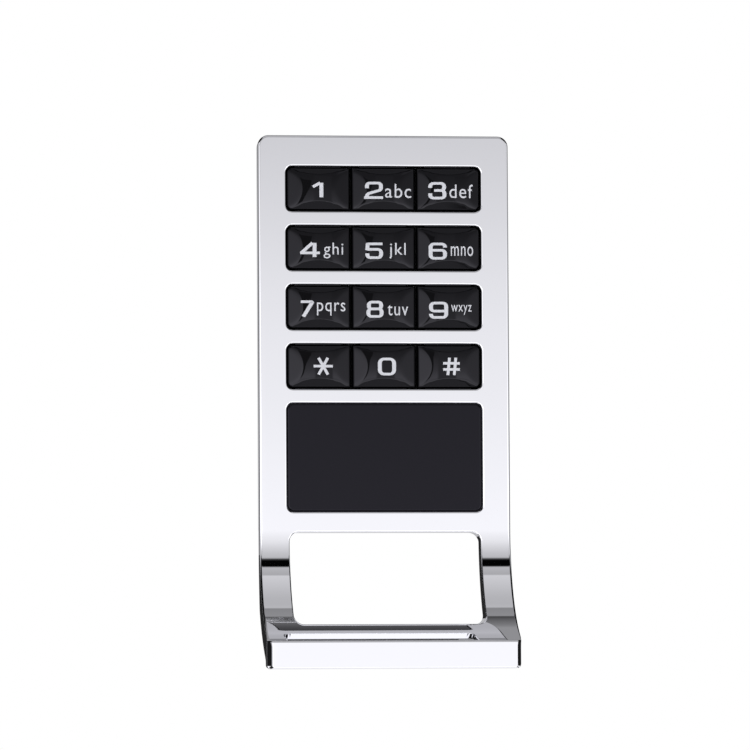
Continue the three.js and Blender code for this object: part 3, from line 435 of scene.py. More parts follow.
def add(tree: Tree, kind: str, inputs: dict[str | int, Any] | None = None, **settings: Any) -> Any:
    """Adds one node to a tree.

    Args:
        tree: takes the node.
        kind: the node's type, without the ShaderNode that it starts with.
        inputs: by socket, by name or number, a plain value or the socket that it is linked from.
        settings: the node's own settings.

    Returns:
        The node's outputs.
    """
    made = tree.nodes.new(f"ShaderNode{kind}")
    for name, value in settings.items():
        setattr(made, name, value)
    for name, value in (inputs or {}).items():
        if isinstance(value, Socket):
            tree.links.new(value, made.inputs[name])
        else:
            made.inputs[name].default_value = value
    return made.outputs


def per(size_mm: float) -> float:
    """The texture scale at which one cycle of a pattern is this many millimetres."""
    return 1 / (size_mm * MM)


Sources = dict[str, Socket]


@dataclass(frozen=True)
class Finish:
    """What every finish has: a common name, a base colour and the shader's plain values."""

    name: str
    shade: str
    roughness: float
    metallic: float = 0.0
    ior: float = 1.5
    coat: float = 0.0
    tint: str = "#ffffff"

    def pattern(self, tree: Tree, place: Socket) -> Sources:
        """What changes over the surface, by the shader's socket that it drives."""
        raise NotImplementedError

    @cache
    def material(self) -> Material:
        """The material, made once: plain values on the shader's own sockets, and the pattern."""
        material = bpy.data.materials.new(self.name)
        material.use_nodes = True
        tree = material.node_tree
        shader = tree.nodes["Principled BSDF"]
        values = {"Base Color": linear(self.shade), "Roughness": self.roughness}
        values |= {"Metallic": self.metallic, "Coat Weight": self.coat}
        if not self.metallic:
            values |= {"IOR": self.ior, "Specular Tint": linear(self.tint)}
        for name, value in values.items():
            shader.inputs[name].default_value = value
        place = add(tree, "TexCoord")["Object"]
        for name, source in self.pattern(tree, place).items():
            tree.links.new(source, shader.inputs[name])
        return material


@dataclass(frozen=True)
class Polished(Finish):
    """A polished or plated metal, or a gloss moulding: a mirror with a faint haze and a long wave.

    Wiping leaves a haze that changes the gloss over a few millimetres, and buffing leaves the surface
    very slightly wavy. Both only show where a straight reflection crosses them.
    """

    haze_mm: float = 9.0
    haze: float = 0.03
    haze_from: float = 0.35
    haze_to: float = 0.7
    wave_mm: float = 14.0
    wave_depth_mm: float = 0.0
    shade_low: str = ""

    def pattern(self, tree: Tree, place: Socket) -> Sources:
        """A noise drives the gloss and maybe the shade, and maybe a longer one a very low bump."""
        noise = {"Scale": per(self.haze_mm), "Detail": 4.0, "Vector": place}
        haze = add(tree, "TexNoise", noise)["Fac"]
        limits = {"From Min": self.haze_from, "From Max": self.haze_to, "To Min": self.roughness}
        limits |= {"To Max": self.roughness + self.haze, "Value": haze}
        sources = {"Roughness": add(tree, "MapRange", limits)["Result"]}
        if self.shade_low:
            shades = {0: haze, 6: linear(self.shade_low), 7: linear(self.shade)}
            sources["Base Color"] = add(tree, "Mix", shades, data_type="RGBA")[2]
        if self.wave_depth_mm:
            noise = {"Scale": per(self.wave_mm), "Detail": 1.0, "Vector": place}
            wave = add(tree, "TexNoise", noise)["Fac"]
            bump = {"Strength": 1.0, "Distance": self.wave_depth_mm * MM, "Height": wave}
            sources["Normal"] = add(tree, "Bump", bump)["Normal"]
        return sources


@dataclass(frozen=True)
class Grained(Finish):
    """A moulding or casting with a fine, even grain, as spark erosion, foam or a matt tool leaves it."""

    grain_mm: float = 0.4
    depth_mm: float = 0.03
    shade_low: str = "#101012"
    cells: bool = False
    patch_grains: float = 30.0
    gloss_change: float = 0.06

    def pattern(self, tree: Tree, place: Socket) -> Sources:
        """The grain drives gloss and height, and a noise many grains wide the shade."""
        grain = {"Scale": per(self.grain_mm), "Vector": place}
        if self.cells:
            height = add(tree, "TexVoronoi", grain)["Distance"]
        else:
            grain |= {"Detail": 3.0, "Roughness": 0.6}
            height = add(tree, "TexNoise", grain)["Fac"]
        noise = {"Scale": per(self.patch_grains * self.grain_mm), "Detail": 2.0, "Vector": place}
        patch = add(tree, "TexNoise", noise)["Fac"]
        shades = {0: patch, 6: linear(self.shade_low), 7: linear(self.shade)}
        gloss = {"To Min": self.roughness - self.gloss_change, "To Max": self.roughness + self.gloss_change}
        bump = {"Strength": 1.0, "Distance": self.depth_mm * MM, "Height": height}
        return {
            "Base Color": add(tree, "Mix", shades, data_type="RGBA")[2],
            "Roughness": add(tree, "MapRange", gloss | {"Value": height})["Result"],
            "Normal": add(tree, "Bump", bump)["Normal"],
        }


@dataclass(frozen=True)
class Brushed(Finish):
    """A drawn or ground metal: fine lines along one axis, in gloss and in height."""

    line_mm: float = 0.12
    long_mm: float = 12.0
    along: int = 0
    depth_mm: float = 0.004
    gloss_less: float = 0.1
    gloss_more: float = 0.12

    def pattern(self, tree: Tree, place: Socket) -> Sources:
        """A noise drawn out along one axis drives gloss and height."""
        stretch = [per(self.line_mm)] * 3
        stretch[self.along] = per(self.long_mm)
        drawn = add(tree, "Mapping", {"Scale": stretch, "Vector": place})["Vector"]
        noise = {"Scale": 1.0, "Detail": 3.0, "Vector": drawn}
        lines = add(tree, "TexNoise", noise)["Fac"]
        gloss = {"To Min": self.roughness - self.gloss_less, "To Max": self.roughness + self.gloss_more}
        bump = {"Strength": 1.0, "Distance": self.depth_mm * MM, "Height": lines}
        return {
            "Roughness": add(tree, "MapRange", gloss | {"Value": lines})["Result"],
            "Normal": add(tree, "Bump", bump)["Normal"],
        }


# Decorative chrome on polished zinc: a bright, faintly blue mirror with almost no haze.
CHROME = Polished(
    "chrome_plate", "#f3f3f6", 0.014, metallic=1.0, haze=0.014, wave_mm=16.0, wave_depth_mm=0.002
)
# Gloss black ABS under a hard clear coat: nearly no colour of its own, all of its look is reflection.
KEY_BLACK = Polished("gloss_black_abs", "#030304", 0.02, ior=1.35, haze=0.02, tint="#f5f3ff")
# Tinted acrylic over the reader: black and flat, a little glossier than the keys.
WINDOW_BLACK = Polished("tinted_acrylic", "#030304", 0.02, ior=1.36, haze=0.02, tint="#ece8ff")
# Pad-printed silver-white ink: a soft, bright grey-white film.
LEGEND_INK = Polished("silver_white_ink", "#e2e2e6", 0.35, haze=0.08, shade_low="#d6d6dc")
# Black ABS from a spark-eroded tool: matt, with an even sandy grain that catches soft light.
CASE_ABS = Grained("spark_eroded_abs", "#2b2b2e", 0.5, grain_mm=0.45, depth_mm=0.05, shade_low="#232326")
# Moulded silicone with a soft sheen, near-black: partly its own colour, partly painted shade, darkened so
# that it shows as the dark line between the keys.
SILICONE_WITH_GAP_SHADE = Grained("silicone_rubber", "#1c1c1e", 0.6, grain_mm=0.8, depth_mm=0.01, shade_low="#161618")
# Closed-cell EVA foam: matt black with cut cells at its faces.
FOAM = Grained(
    "closed_cell_foam", "#2a2a2c", 0.85, grain_mm=0.35, depth_mm=0.08, shade_low="#1b1b1d", cells=True
)
# Epoxy moulding compound: dull near-black.
EPOXY = Grained("epoxy_moulding", "#262628", 0.6, grain_mm=0.15, depth_mm=0.008, shade_low="#1e1e20")
# Nylon 6.6, natural: milky off-white, slightly waxy.
NYLON = Grained("natural_nylon", "#e6e3d8", 0.45, grain_mm=1.2, depth_mm=0.01, shade_low="#d8d4c6")
# Green solder mask over glass laminate: gloss lacquer, a little cloudy.
LAMINATE = Polished("solder_mask", "#1f6b43", 0.25, coat=0.4, haze=0.1, shade_low="#174f31")
# Bare copper track: warm, half dull.
COPPER = Brushed("copper_track", "#c9835a", 0.35, metallic=1.0, line_mm=0.2)
# Polyester film over flat conductors: pale, satin.
FILM = Brushed("ribbon_film", "#dcd9cc", 0.35, line_mm=1.0, long_mm=60.0, along=2, depth_mm=0.03)
# Bright zinc on machined steel: cool grey with fine lines along the bar.
BOLT_STEEL = Brushed("zinc_on_steel", "#c3c6cc", 0.3, metallic=1.0, line_mm=0.25, long_mm=14.0)
# Bright zinc on a rolled screw: the same grey, finer.
SCREW_STEEL = Polished("zinc_on_screw", "#bcc0c7", 0.22, metallic=1.0, haze=0.12, haze_mm=1.5)
# Nickel on spring steel: warm white metal, bright.
NICKEL = Polished("nickel_plate", "#cdc8bd", 0.16, metallic=1.0, haze=0.12, haze_mm=3.0)
# Turned and sintered brass: yellow metal, satin.
BRASS = Polished("turned_brass", "#cfa85c", 0.25, metallic=1.0, haze=0.12, haze_mm=2.0, shade_low="#b98f45")
# Printed shrink film on the cells: gloss, in two plain colours.
SLEEVE_BLUE = Polished("blue_shrink_film", "#2d5f95", 0.2, haze=0.1, shade_low="#27568a")
SLEEVE_DARK = Polished("dark_shrink_film", "#23262b", 0.2, haze=0.1)
# PVC insulation: soft gloss, red and black.
PVC_RED = Polished("red_pvc", "#b3282b", 0.35, haze=0.15)
PVC_BLACK = Polished("black_pvc", "#242426", 0.35, haze=0.15)


# Front plate


CORNER_STEPS = 12
ACROSS_STEPS = 8
ZONE = 2 * MM

Chains = list[Array]
Surface = Callable[[Array], tuple[Array, Array]]


@dataclass(frozen=True)
class Corner:
    """A rounded corner: its arc's radius, and the arc's centre's distance from the two sides."""

    radius: float
    inset_x: float
    inset_z: float


def plain(radius: float) -> Corner:
    """A corner whose arc touches both sides."""
    return Corner(radius, radius, radius)


def chains(
    half: float, low: float, high: float, corners: Sequence[Corner | None], side_steps: int
) -> Chains:
    """A rectangle's loop in X and Z, anticlockwise, cut at the middles of its corners.

    A corner's arc runs between the angles at which a circle about its centre meets the two sides. A
    corner of None is sharp, and its steps are laid straight along a zone of each side, so that loops
    with and without arcs have their points in step.

    Args:
        half: half the width.
        low: the lower edge.
        high: the upper edge.
        corners: lower right, upper right, upper left and lower left.
        side_steps: how many pieces each upright side has between its corners.

    Returns:
        Right, upper, left and lower chain. A row is X, Z and the outward normal's X and Z.
    """
    travel = np.array([(1, 0), (0, 1), (-1, 0), (0, -1), (1, 0)], float)
    outward = np.stack([travel[:, 1], -travel[:, 0]], axis=1)
    places = np.array([(half, low), (half, high), (-half, high), (-half, low)])
    turn = np.linspace(0, 1, CORNER_STEPS + 1)[:, None]
    bends = []
    for k, corner in enumerate(corners):
        if corner is None:
            before = travel[k] * ZONE * np.clip(1 - 2 * turn, 0, 1)
            after = travel[k + 1] * ZONE * np.clip(2 * turn - 1, 0, 1)
            normal = np.where(turn < 0.5, outward[k], outward[k + 1])
            bends.append(np.hstack([places[k] - before + after, normal]))
            continue
        inset = np.array([corner.inset_x, corner.inset_z])
        centre = places[k] + (travel[k + 1] - travel[k]) * inset
        arrive, leave = (inset[::-1] if k % 2 == 0 else inset) / corner.radius
        first = (k - 1) * QUARTER - math.acos(min(arrive, 1))
        last = k * QUARTER + math.acos(min(leave, 1))
        angle = first + (last - first) * turn
        normal = np.hstack([np.cos(angle), np.sin(angle)])
        bends.append(np.hstack([centre + corner.radius * normal, normal]))
    middle = CORNER_STEPS // 2
    made = []
    for k, steps in enumerate((side_steps, ACROSS_STEPS, side_steps, ACROSS_STEPS)):
        start, end = bends[k], bends[(k + 1) % 4]
        share = np.linspace(0, 1, steps + 1)[1:-1, None]
        line = start[-1, :2] * (1 - share) + end[0, :2] * share
        line = np.hstack([line, np.tile(outward[k + 1], (len(line), 1))])
        made.append(np.vstack([start[middle:], line, end[: middle + 1]]))
    return made


def mirrored(chain: Array) -> Array:
    """The same chain on the other side of the middle plane, run the other way."""
    return chain[::-1] * np.array([-1, 1, -1, 1])


def stacked(cells: Sequence[Chains]) -> Chains:
    """The loop round a stack of cells, from the lowest to the highest."""
    right = np.vstack([cell[0][:-1] for cell in cells] + [cells[-1][0][-1:]])
    return [right, cells[-1][1], mirrored(right), cells[0][3]]


def closed(parts: Chains) -> Array:
    """Four chains as one closed loop, each point once."""
    return np.vstack([part[:-1] for part in parts])


@dataclass
class Ring:
    """Where a wall along Y meets a face: the sharp corner, the wall's normal and the edge's reach."""

    place: Array
    outward: Array
    contact: Array
    fall: Array
    bluntness: Array


@dataclass
class FrontPlate:
    """The chromed casting: a flat plate with five openings that sweeps forward into a pull handle.

    Front and back are each a height y over the plane of X and Z, so every sheet of the casting is a
    grid in that plane, lifted. There is one cell round each opening, and cells share their edges'
    points.
    """

    face: float = -8 * MM
    wall_back: float = -6.4 * MM
    draft: float = 0.5 * MM
    corner_radius: float = 2.8 * MM
    lip_corner_radius: float = 1.1 * MM
    sweep_drop: float = 2.06 * MM
    sweep_radius: float = 31 * MM
    handle_thickness: float = 6.5 * MM
    lip_height: float = 6.7 * MM
    lip_depth: float = 5.5 * MM
    lip_soft: float = 0.3 * MM
    lip_overhang: float = 0.28 * MM
    lip_round: float = 0.7 * MM
    arm_width: float = 7.8 * MM
    cross_bar: float = 4.4 * MM
    window_radius: float = 2.4 * MM
    window_top: float = -2.6 * MM
    slot_half_width: float = 25.3 * MM
    slot_half_height: float = 5.85 * MM
    slot_radius: float = 1.8 * MM
    slot_bevel: float = 0.42 * MM
    slot_rows: tuple[float, ...] = (40 * MM, 55.25 * MM, 70.5 * MM, 85.75 * MM)
    reader_span: Pair = (2.6 * MM, 30.6 * MM)
    rim_wall: float = 2.2 * MM
    pocket_low: float = -0.6 * MM
    insert_hole: float = 2.4 * MM
    insert_boss: float = 3 * MM
    screw_hole: float = 1.05 * MM
    screw_boss: float = 2 * MM
    boss_gap: float = 0.1 * MM
    boss_sides: int = 24
    hidden_gap: float = 0.02 * MM
    edge: float = 0.65 * MM
    back_edge: float = 0.3 * MM
    grip_edge: float = 2.2 * MM
    window_edge: float = 0.4 * MM
    lip_low_edge: float = 0.3 * MM
    lip_low_corner: float = 0.4 * MM
    lip_end_reach: float = 1.3 * MM
    lip_end_fall: float = 2.4 * MM
    lip_end_bluntness: float = 1.7
    lip_low_power: int = 6
    front_edge_share: float = 0.45
    back_edge_share: float = 0.35
    lip_start: float = -29.5 * MM
    lip_blend: float = 2.2 * MM
    split: float = -1.5 * MM
    exponent_limit: float = 60.0
    hair: float = 1e-9
    least_turn: float = 1e-4
    lip_steps: tuple[int, int, int] = (6, 6, 5)
    arm_steps: int = 56
    flat_steps: int = 2
    rows: int = 6
    band_steps: int = 7

    def __post_init__(self) -> None:
        """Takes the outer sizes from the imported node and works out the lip's small arc."""
        low, high = corners_of("front_plate")
        self.half, self.top = float(high[0]), float(high[2])
        self.lip_front, self.rim_back = float(low[1]), float(high[1])
        self.bottom = float(low[2]) - self.lip_overhang
        self.centre_y = self.face - self.sweep_radius
        reach = self.sweep_radius + self.lip_round
        drop = math.sqrt(reach**2 - (self.lip_front + self.lip_round - self.centre_y) ** 2)
        self.round_centre = -self.sweep_drop - drop
        self.round_start = -self.sweep_drop - drop * self.sweep_radius / reach
        self.window_low = float(low[2]) + self.lip_height + self.cross_bar
        self.skin = Skin()

    def front(self, z: Array) -> tuple[Array, Array]:
        """The front's y and normal at a height z.

        Flat down to the sweep, then a circle about a line in front of the plate, then a small arc over
        the lip's upper edge, then the lip's flat face.
        """
        drop = np.clip((-self.sweep_drop - z) / self.sweep_radius, 0, STEEPEST)
        y = self.centre_y + self.sweep_radius * np.sqrt(1 - drop**2)
        rise = np.clip((z - self.round_centre) / self.lip_round, 0, 1)
        over = z < self.round_start
        y = np.where(over, self.lip_front + self.lip_round * (1 - np.sqrt(1 - rise**2)), y)
        tilt = np.where(over, rise, drop)
        return y, upright(0 * z, tilt, -np.sqrt(1 - tilt**2))

    def back(self, z: Array) -> tuple[Array, Array]:
        """The back's y and normal: the rim's plane, then a circle about the same line, then the lip's back.

        Where the circle meets the lip's flat back, the height is the soft greatest of the two, and its
        slope is the circle's, weighted by the circle's share in it.
        """
        radius = self.sweep_radius + self.handle_thickness
        drop = np.clip((-self.sweep_drop - z) / radius, 0, STEEPEST)
        circle = self.centre_y + radius * np.sqrt(1 - drop**2)
        flat = self.lip_front + self.lip_depth
        step = np.clip((flat - circle) / self.lip_soft, -self.exponent_limit, self.exponent_limit)
        share = 1 / (1 + np.exp(step))
        over = np.log1p(np.exp(-np.abs(circle - flat) / self.lip_soft)) * self.lip_soft
        y = np.where(z < -self.sweep_drop, np.maximum(circle, flat) + over, self.rim_back)
        slope = share * drop / np.sqrt(1 - drop**2)
        return y, unit(upright(0 * z, -slope, 0 * z + 1))

    def ceiling(self, z: Array) -> tuple[Array, Array]:
        """The back of the front wall, inside the pocket."""
        return 0 * z + self.wall_back, upright(0 * z, 0 * z, 0 * z + 1)

    def shrink(self, y: Array) -> Array:
        """By how much the draft narrows the sides at a depth y behind the face."""
        return 1 - self.draft / self.half * np.clip((y - self.face) / -self.face, 0, 1)

    def drafted(self, points: Array, normals: Array) -> tuple[Array, Array]:
        """Narrows the sides towards the door and tilts their normals with them."""
        behind = points[..., 1] > self.face + self.hair
        slope = np.where(behind, self.draft / self.half / self.face, 0.0)
        moved, turned = points.copy(), normals.copy()
        turned[..., 1] = normals[..., 1] - normals[..., 0] * points[..., 0] * slope
        moved[..., 0] = points[..., 0] * self.shrink(points[..., 1])
        return moved, unit(turned)

    def side_reach(self, z: Array) -> Array:
        """How far the side's edge reaches over the face: a plain edge, growing at the lip's ends."""
        return self.edge + (self.lip_end_reach - self.edge) * self.lip_share(z)

    def lip_share(self, z: Array) -> Array:
        """From 0 above the lip to 1 on it, along a smooth cubic."""
        return ease(np.clip((self.lip_start - z) / self.lip_blend, 0, 1))

    def openings(self) -> list[Chains]:
        """The handle's window, the reader's opening and the four slots, from the lowest up."""
        arm, hole = plain(self.window_radius), plain(self.slot_radius)
        wide, spans = self.half - self.arm_width, [self.reader_span]
        window = chains(wide, self.window_low, self.window_top, [arm] * 4, self.arm_steps)
        spans += [(z - self.slot_half_height, z + self.slot_half_height) for z in self.slot_rows]
        holes = [chains(self.slot_half_width, *span, [hole] * 4, self.flat_steps) for span in spans]
        return [window, *holes]

    def cells(self, half: float, low: float, high: float, ends: Sequence[Corner | None]) -> list[Chains]:
        """The cells round the reader's opening and the slots, stacked between two heights.

        Args:
            half: half the width.
            low: the lowest cell's lower edge.
            high: the highest cell's upper edge.
            ends: the corner at both lower ends, and the one at both upper ends.

        Returns:
            Each cell's chains, from the lowest.
        """
        first = (self.reader_span[1] + self.slot_rows[0] - self.slot_half_height) / 2
        between = [(a + b) / 2 for a, b in zip(self.slot_rows[:-1], self.slot_rows[1:])]
        lines = [low, first, *between, high]
        made = []
        for k, (z0, z1) in enumerate(zip(lines[:-1], lines[1:])):
            lower = ends[0] if k == 0 else None
            upper = ends[1] if k == len(lines) - 2 else None
            made.append(chains(half, z0, z1, [lower, upper, upper, lower], self.flat_steps))
        return made

    def outside(self, inset: float) -> list[Chains]:
        """The handle's cell and those above it, at a distance inside the casting's outline."""
        half = self.half - inset
        handle = chains(half, self.lip_start, self.split, [None] * 4, self.arm_steps)
        upper = plain(self.corner_radius - inset)
        return [handle] + self.cells(half, self.split, self.top - inset, [None, upper])

    def lip_side(self, reach: Callable[[Array], Array], low_inset: float, corner: float) -> Array:
        """The right end of the lip's outline, from its lower edge up to the handle's cell.

        Args:
            reach: how far inside the casting's side the line lies at a height.
            low_inset: how far it lies above the casting's lower edge.
            corner: the radius of its lower corner.

        Returns:
            Rows of X, Z and the outward normal.
        """
        angle = np.linspace(-QUARTER, 0, CORNER_STEPS // 2 + 1)
        low = self.bottom + low_inset
        wide = self.half - float(reach(np.array(low + corner)))
        normal = np.stack([np.cos(angle), np.sin(angle)], axis=1)
        arc = np.hstack([(wide - corner, low + corner) + corner * normal, normal])
        stops = [self.bottom + self.lip_corner_radius, self.round_centre, self.round_start, self.lip_start]
        spans = zip(stops[:-1], stops[1:], self.lip_steps)
        z = np.concatenate([np.linspace(a, b, steps + 1)[1:] for a, b, steps in spans])
        side = np.stack([self.half - reach(z), z, 0 * z + 1, 0 * z], axis=1)
        return np.vstack([arc, side])

    def outline(self, lip: Array, cells: list[Chains], shares: Array) -> Array:
        """The loop round the lip, the handle's cell and the cells above it."""
        body = stacked(cells)
        right = np.vstack([lip[:-1], body[0]])
        low = np.stack([lip[0, 0] * shares, 0 * shares + lip[0, 1], 0 * shares, 0 * shares - 1], axis=1)
        return closed([right, body[1], mirrored(right), low])

    def sheet(self, inner: Array, outer: Array, surface: Surface, rows: int, narrow: bool = False) -> None:
        """Fills the ring between two loops in step, straight in X and Z, and lifts it to the surface."""
        outer = outer[:, :2].copy()
        if narrow:
            outer[:, 0] *= self.shrink(surface(outer[:, 1])[0])
        t = np.linspace(0, 1, rows + 1)[:, None, None]
        flat = inner[None, :, :2] * (1 - t) + outer[None] * t
        y, normals = surface(flat[..., 1])
        self.skin.grid(upright(flat[..., 0], flat[..., 1], y), normals, wrap=True)

    def lip_sheet(self, side: Array, shares: Array, surface: Surface, narrow: bool = False) -> None:
        """Fills the lip between its two ends, row by row, and lifts it to the surface."""
        z = side[:, 1:2] + 0 * shares
        y, normals = surface(z)
        x = side[:, :1] * shares
        if narrow:
            x = x * self.shrink(y)
        self.skin.grid(upright(x, z, y), normals)

    def band(self, ring: Ring, surface: Surface, inward: int, draft: bool = False) -> Array:
        """Rounds the edge between a face and a wall along Y, all round a ring.

        It lies f of the way from the contact on the face to the sharp corner, and g of the edge's
        reach along the wall, with f = sin(t) ** k and g = 1 - cos(t) ** k: a quarter ellipse at k = 1,
        and nearer to a flat chamfer towards k = 2. Its normal is square to that curve.

        Args:
            ring: the corner, the wall's normals and the reaches.
            surface: gives the face's y and normal.
            inward: 1 where the wall runs back from this face, -1 where it runs forward.
            draft: whether the ring is on the drafted outside.

        Returns:
            The y at which the wall starts, for each point of the ring.
        """
        face_y, face_normal = surface(ring.contact[:, 1])
        corner_y, _ = surface(ring.place[:, 1])
        start = upright(ring.contact[:, 0], ring.contact[:, 1], face_y)
        corner = upright(ring.place[:, 0], ring.place[:, 1], corner_y)
        wall = upright(ring.outward[:, 0], ring.outward[:, 1], 0 * face_y)
        run = corner - start
        fall = upright(0 * face_y, 0 * face_y, inward * ring.fall)
        t = np.linspace(0, QUARTER, self.band_steps + 1)[:, None, None]
        k = ring.bluntness[None, :, None]
        points = start + np.sin(t) ** k * run + (1 - np.clip(np.cos(t), 0, 1) ** k) * fall
        near = np.clip(t, self.least_turn, QUARTER - self.least_turn)
        f = np.sin(near) ** (k - 1) * np.cos(near)
        g = np.cos(near) ** (k - 1) * np.sin(near)
        along = np.sum(wall * run, axis=1, keepdims=True)
        into = np.sum(face_normal * fall, axis=1, keepdims=True)
        normals = unit(f * along * face_normal - g * into * wall)
        if draft:
            points, normals = self.drafted(points, normals)
        self.skin.grid(points, normals, wrap=True)
        return corner_y + inward * ring.fall

    def wall(self, place: Array, outward: Array, y0: Array, y1: Array, draft: bool = False) -> None:
        """The straight wall along Y between two edges, with a row where the sides' draft starts."""
        middle = np.clip(self.face + 0 * y0, np.minimum(y0, y1), np.maximum(y0, y1))
        y = np.stack([y0, middle, y1]) if draft else np.stack([y0, y1])
        points = upright(place[None, :, 0], place[None, :, 1], y)
        normals = upright(outward[None, :, 0], outward[None, :, 1], 0 * y)
        if draft:
            points, normals = self.drafted(points, normals)
        self.skin.grid(points, normals, wrap=True)

    def opening_ring(self, loop: Array, reach: float, upper_reach: float | None = None) -> Ring:
        """A ring round an opening, whose walls face its middle; its upper edge may reach less far."""
        upper = reach if upper_reach is None else upper_reach
        each = reach + (upper - reach) * np.clip(loop[:, 3], 0, 1)
        contact = loop[:, :2] + each[:, None] * loop[:, 2:]
        return Ring(loop[:, :2], -loop[:, 2:], contact, each, 0 * each + 1)

    def add_outside(self) -> None:
        """The outer wall with its front and back edges, and the lip's two faces."""
        sharp, front, back = (self.outside(inset) for inset in (0.0, self.edge, self.back_edge))
        self.front_cells, self.back_cells = front, back
        shares = front[0][3][:, 0] / (self.half - self.edge)
        plain_side = self.lip_side(lambda z: 0 * z, 0.0, self.lip_corner_radius)
        front_side = self.lip_side(self.side_reach, self.lip_low_edge, self.lip_low_corner)
        back_corner = self.lip_corner_radius - self.back_edge
        back_side = self.lip_side(lambda z: 0 * z + self.back_edge, self.back_edge, back_corner)
        self.lip_sheet(front_side, shares, self.front)
        self.lip_sheet(back_side, shares, self.back, narrow=True)
        outline = self.outline(plain_side, sharp, shares)
        z, down = outline[:, 1], np.clip(-outline[:, 3], 0, 1) ** self.lip_low_power
        thick = self.back(z)[0] - self.front(z)[0]
        share = self.lip_share(z)
        fall = self.edge + (self.lip_end_fall - self.edge) * share
        fall = fall * (1 - down) + self.lip_low_edge * down
        blunt = 1 + (self.lip_end_bluntness - 1) * share * (1 - down)
        place, outward = outline[:, :2], outline[:, 2:]
        contact = self.outline(front_side, front, shares)[:, :2]
        front_ring = Ring(place, outward, contact, np.minimum(fall, self.front_edge_share * thick), blunt)
        contact = self.outline(back_side, back, shares)[:, :2]
        fall = np.minimum(self.back_edge, self.back_edge_share * thick)
        back_ring = Ring(place, outward, contact, fall, np.ones(len(outline)))
        y0 = self.band(front_ring, self.front, 1, draft=True)
        y1 = self.band(back_ring, self.back, -1, draft=True)
        self.wall(place, outward, y0, y1, draft=True)

    def add_openings(self) -> None:
        """The front face with its openings, the pocket behind it and the handle's window."""
        window, *holes = (closed(loop) for loop in self.openings())
        insert_x, insert_low, insert_high = self.insert_places()
        wall = self.half - self.rim_wall
        lower = Corner(self.insert_hole, wall - insert_x, insert_low - self.pocket_low)
        upper = Corner(self.insert_hole, wall - insert_x, self.top - self.rim_wall - insert_high)
        pocket = self.cells(wall, self.pocket_low, self.top - self.rim_wall, [lower, upper])
        for hole, front, behind in zip(holes, self.front_cells[1:], pocket):
            ring = self.opening_ring(hole, self.slot_bevel)
            self.sheet(ring.contact, closed(front), self.front, 1)
            y0 = self.band(ring, self.front, 1)
            self.wall(ring.place, ring.outward, y0, 0 * y0 + self.wall_back)
            self.sheet(ring.place, closed(behind), self.ceiling, 1)
        inside = closed(stacked(pocket))
        flat = np.zeros(len(inside))
        self.wall(inside, -inside[:, 2:], flat + self.wall_back, flat + self.rim_back)
        self.sheet(inside, closed(stacked(self.back_cells[1:])), self.back, 1, narrow=True)
        front_ring = self.opening_ring(window, self.window_edge)
        back_ring = self.opening_ring(window, self.grip_edge, self.back_edge)
        self.sheet(front_ring.contact, closed(self.front_cells[0]), self.front, self.rows)
        self.sheet(back_ring.contact, closed(self.back_cells[0]), self.back, self.rows, narrow=True)
        y0 = self.band(front_ring, self.front, 1)
        y1 = self.band(back_ring, self.back, -1)
        self.wall(front_ring.place, front_ring.outward, y0, y1)

    def insert_places(self) -> tuple[float, float, float]:
        """The inserts' distance from the middle, and the heights of the lower and upper pair."""
        middles = np.array([middle_of(node) for node in INSERT_NODES])
        return float(middles[:, 0].max()), float(middles[:, 2].min()), float(middles[:, 2].max())

    def add_bosses(self) -> None:
        """The round bosses that the inserts and the small screws sit in, as closed tubes."""
        root, board = self.wall_back - self.hidden_gap, float(corners_of("main_board")[0][1])
        bosses = {node: (self.insert_boss, self.insert_hole, self.rim_back) for node in INSERT_NODES}
        screws = [node for node in SCREW_NODES if node.startswith(("board", "case"))]
        bosses |= {node: (self.screw_boss, self.screw_hole, board) for node in screws}
        for node, (wide, bore, tip) in bosses.items():
            middle, end = middle_of(node), tip - self.boss_gap
            profile = rounded_path([(wide, root), (wide, end), (bore, end), (bore, root)], 0.0, steps=1)
            centre = float(middle[0]), float(middle[2])
            lathe(self.skin, profile, centre, Lie.FACING_FRONT, self.boss_sides)

    def build(self) -> None:
        """Builds the casting and plates it."""
        self.add_outside()
        self.add_openings()
        self.add_bosses()
        piece("plate", self.skin, [CHROME], "front_plate")


# Keys


def box_distance(x: Array, z: Array, half_x: float, half_z: float, radius: Array) -> Array:
    """How far inside a rounded rectangle about the origin a point lies."""
    qx, qz = np.abs(x) - (half_x - radius), np.abs(z) - (half_z - radius)
    outside = np.hypot(np.maximum(qx, 0), np.maximum(qz, 0))
    return radius - outside - np.minimum(np.maximum(qx, qz), 0)


def soft_min(values: Array, width: float) -> Array:
    """The least of several heights, rounded where two are nearly alike, over about this width."""
    least = values.min(axis=0)
    return least - width * np.log(np.exp((least - values) / width).sum(axis=0))


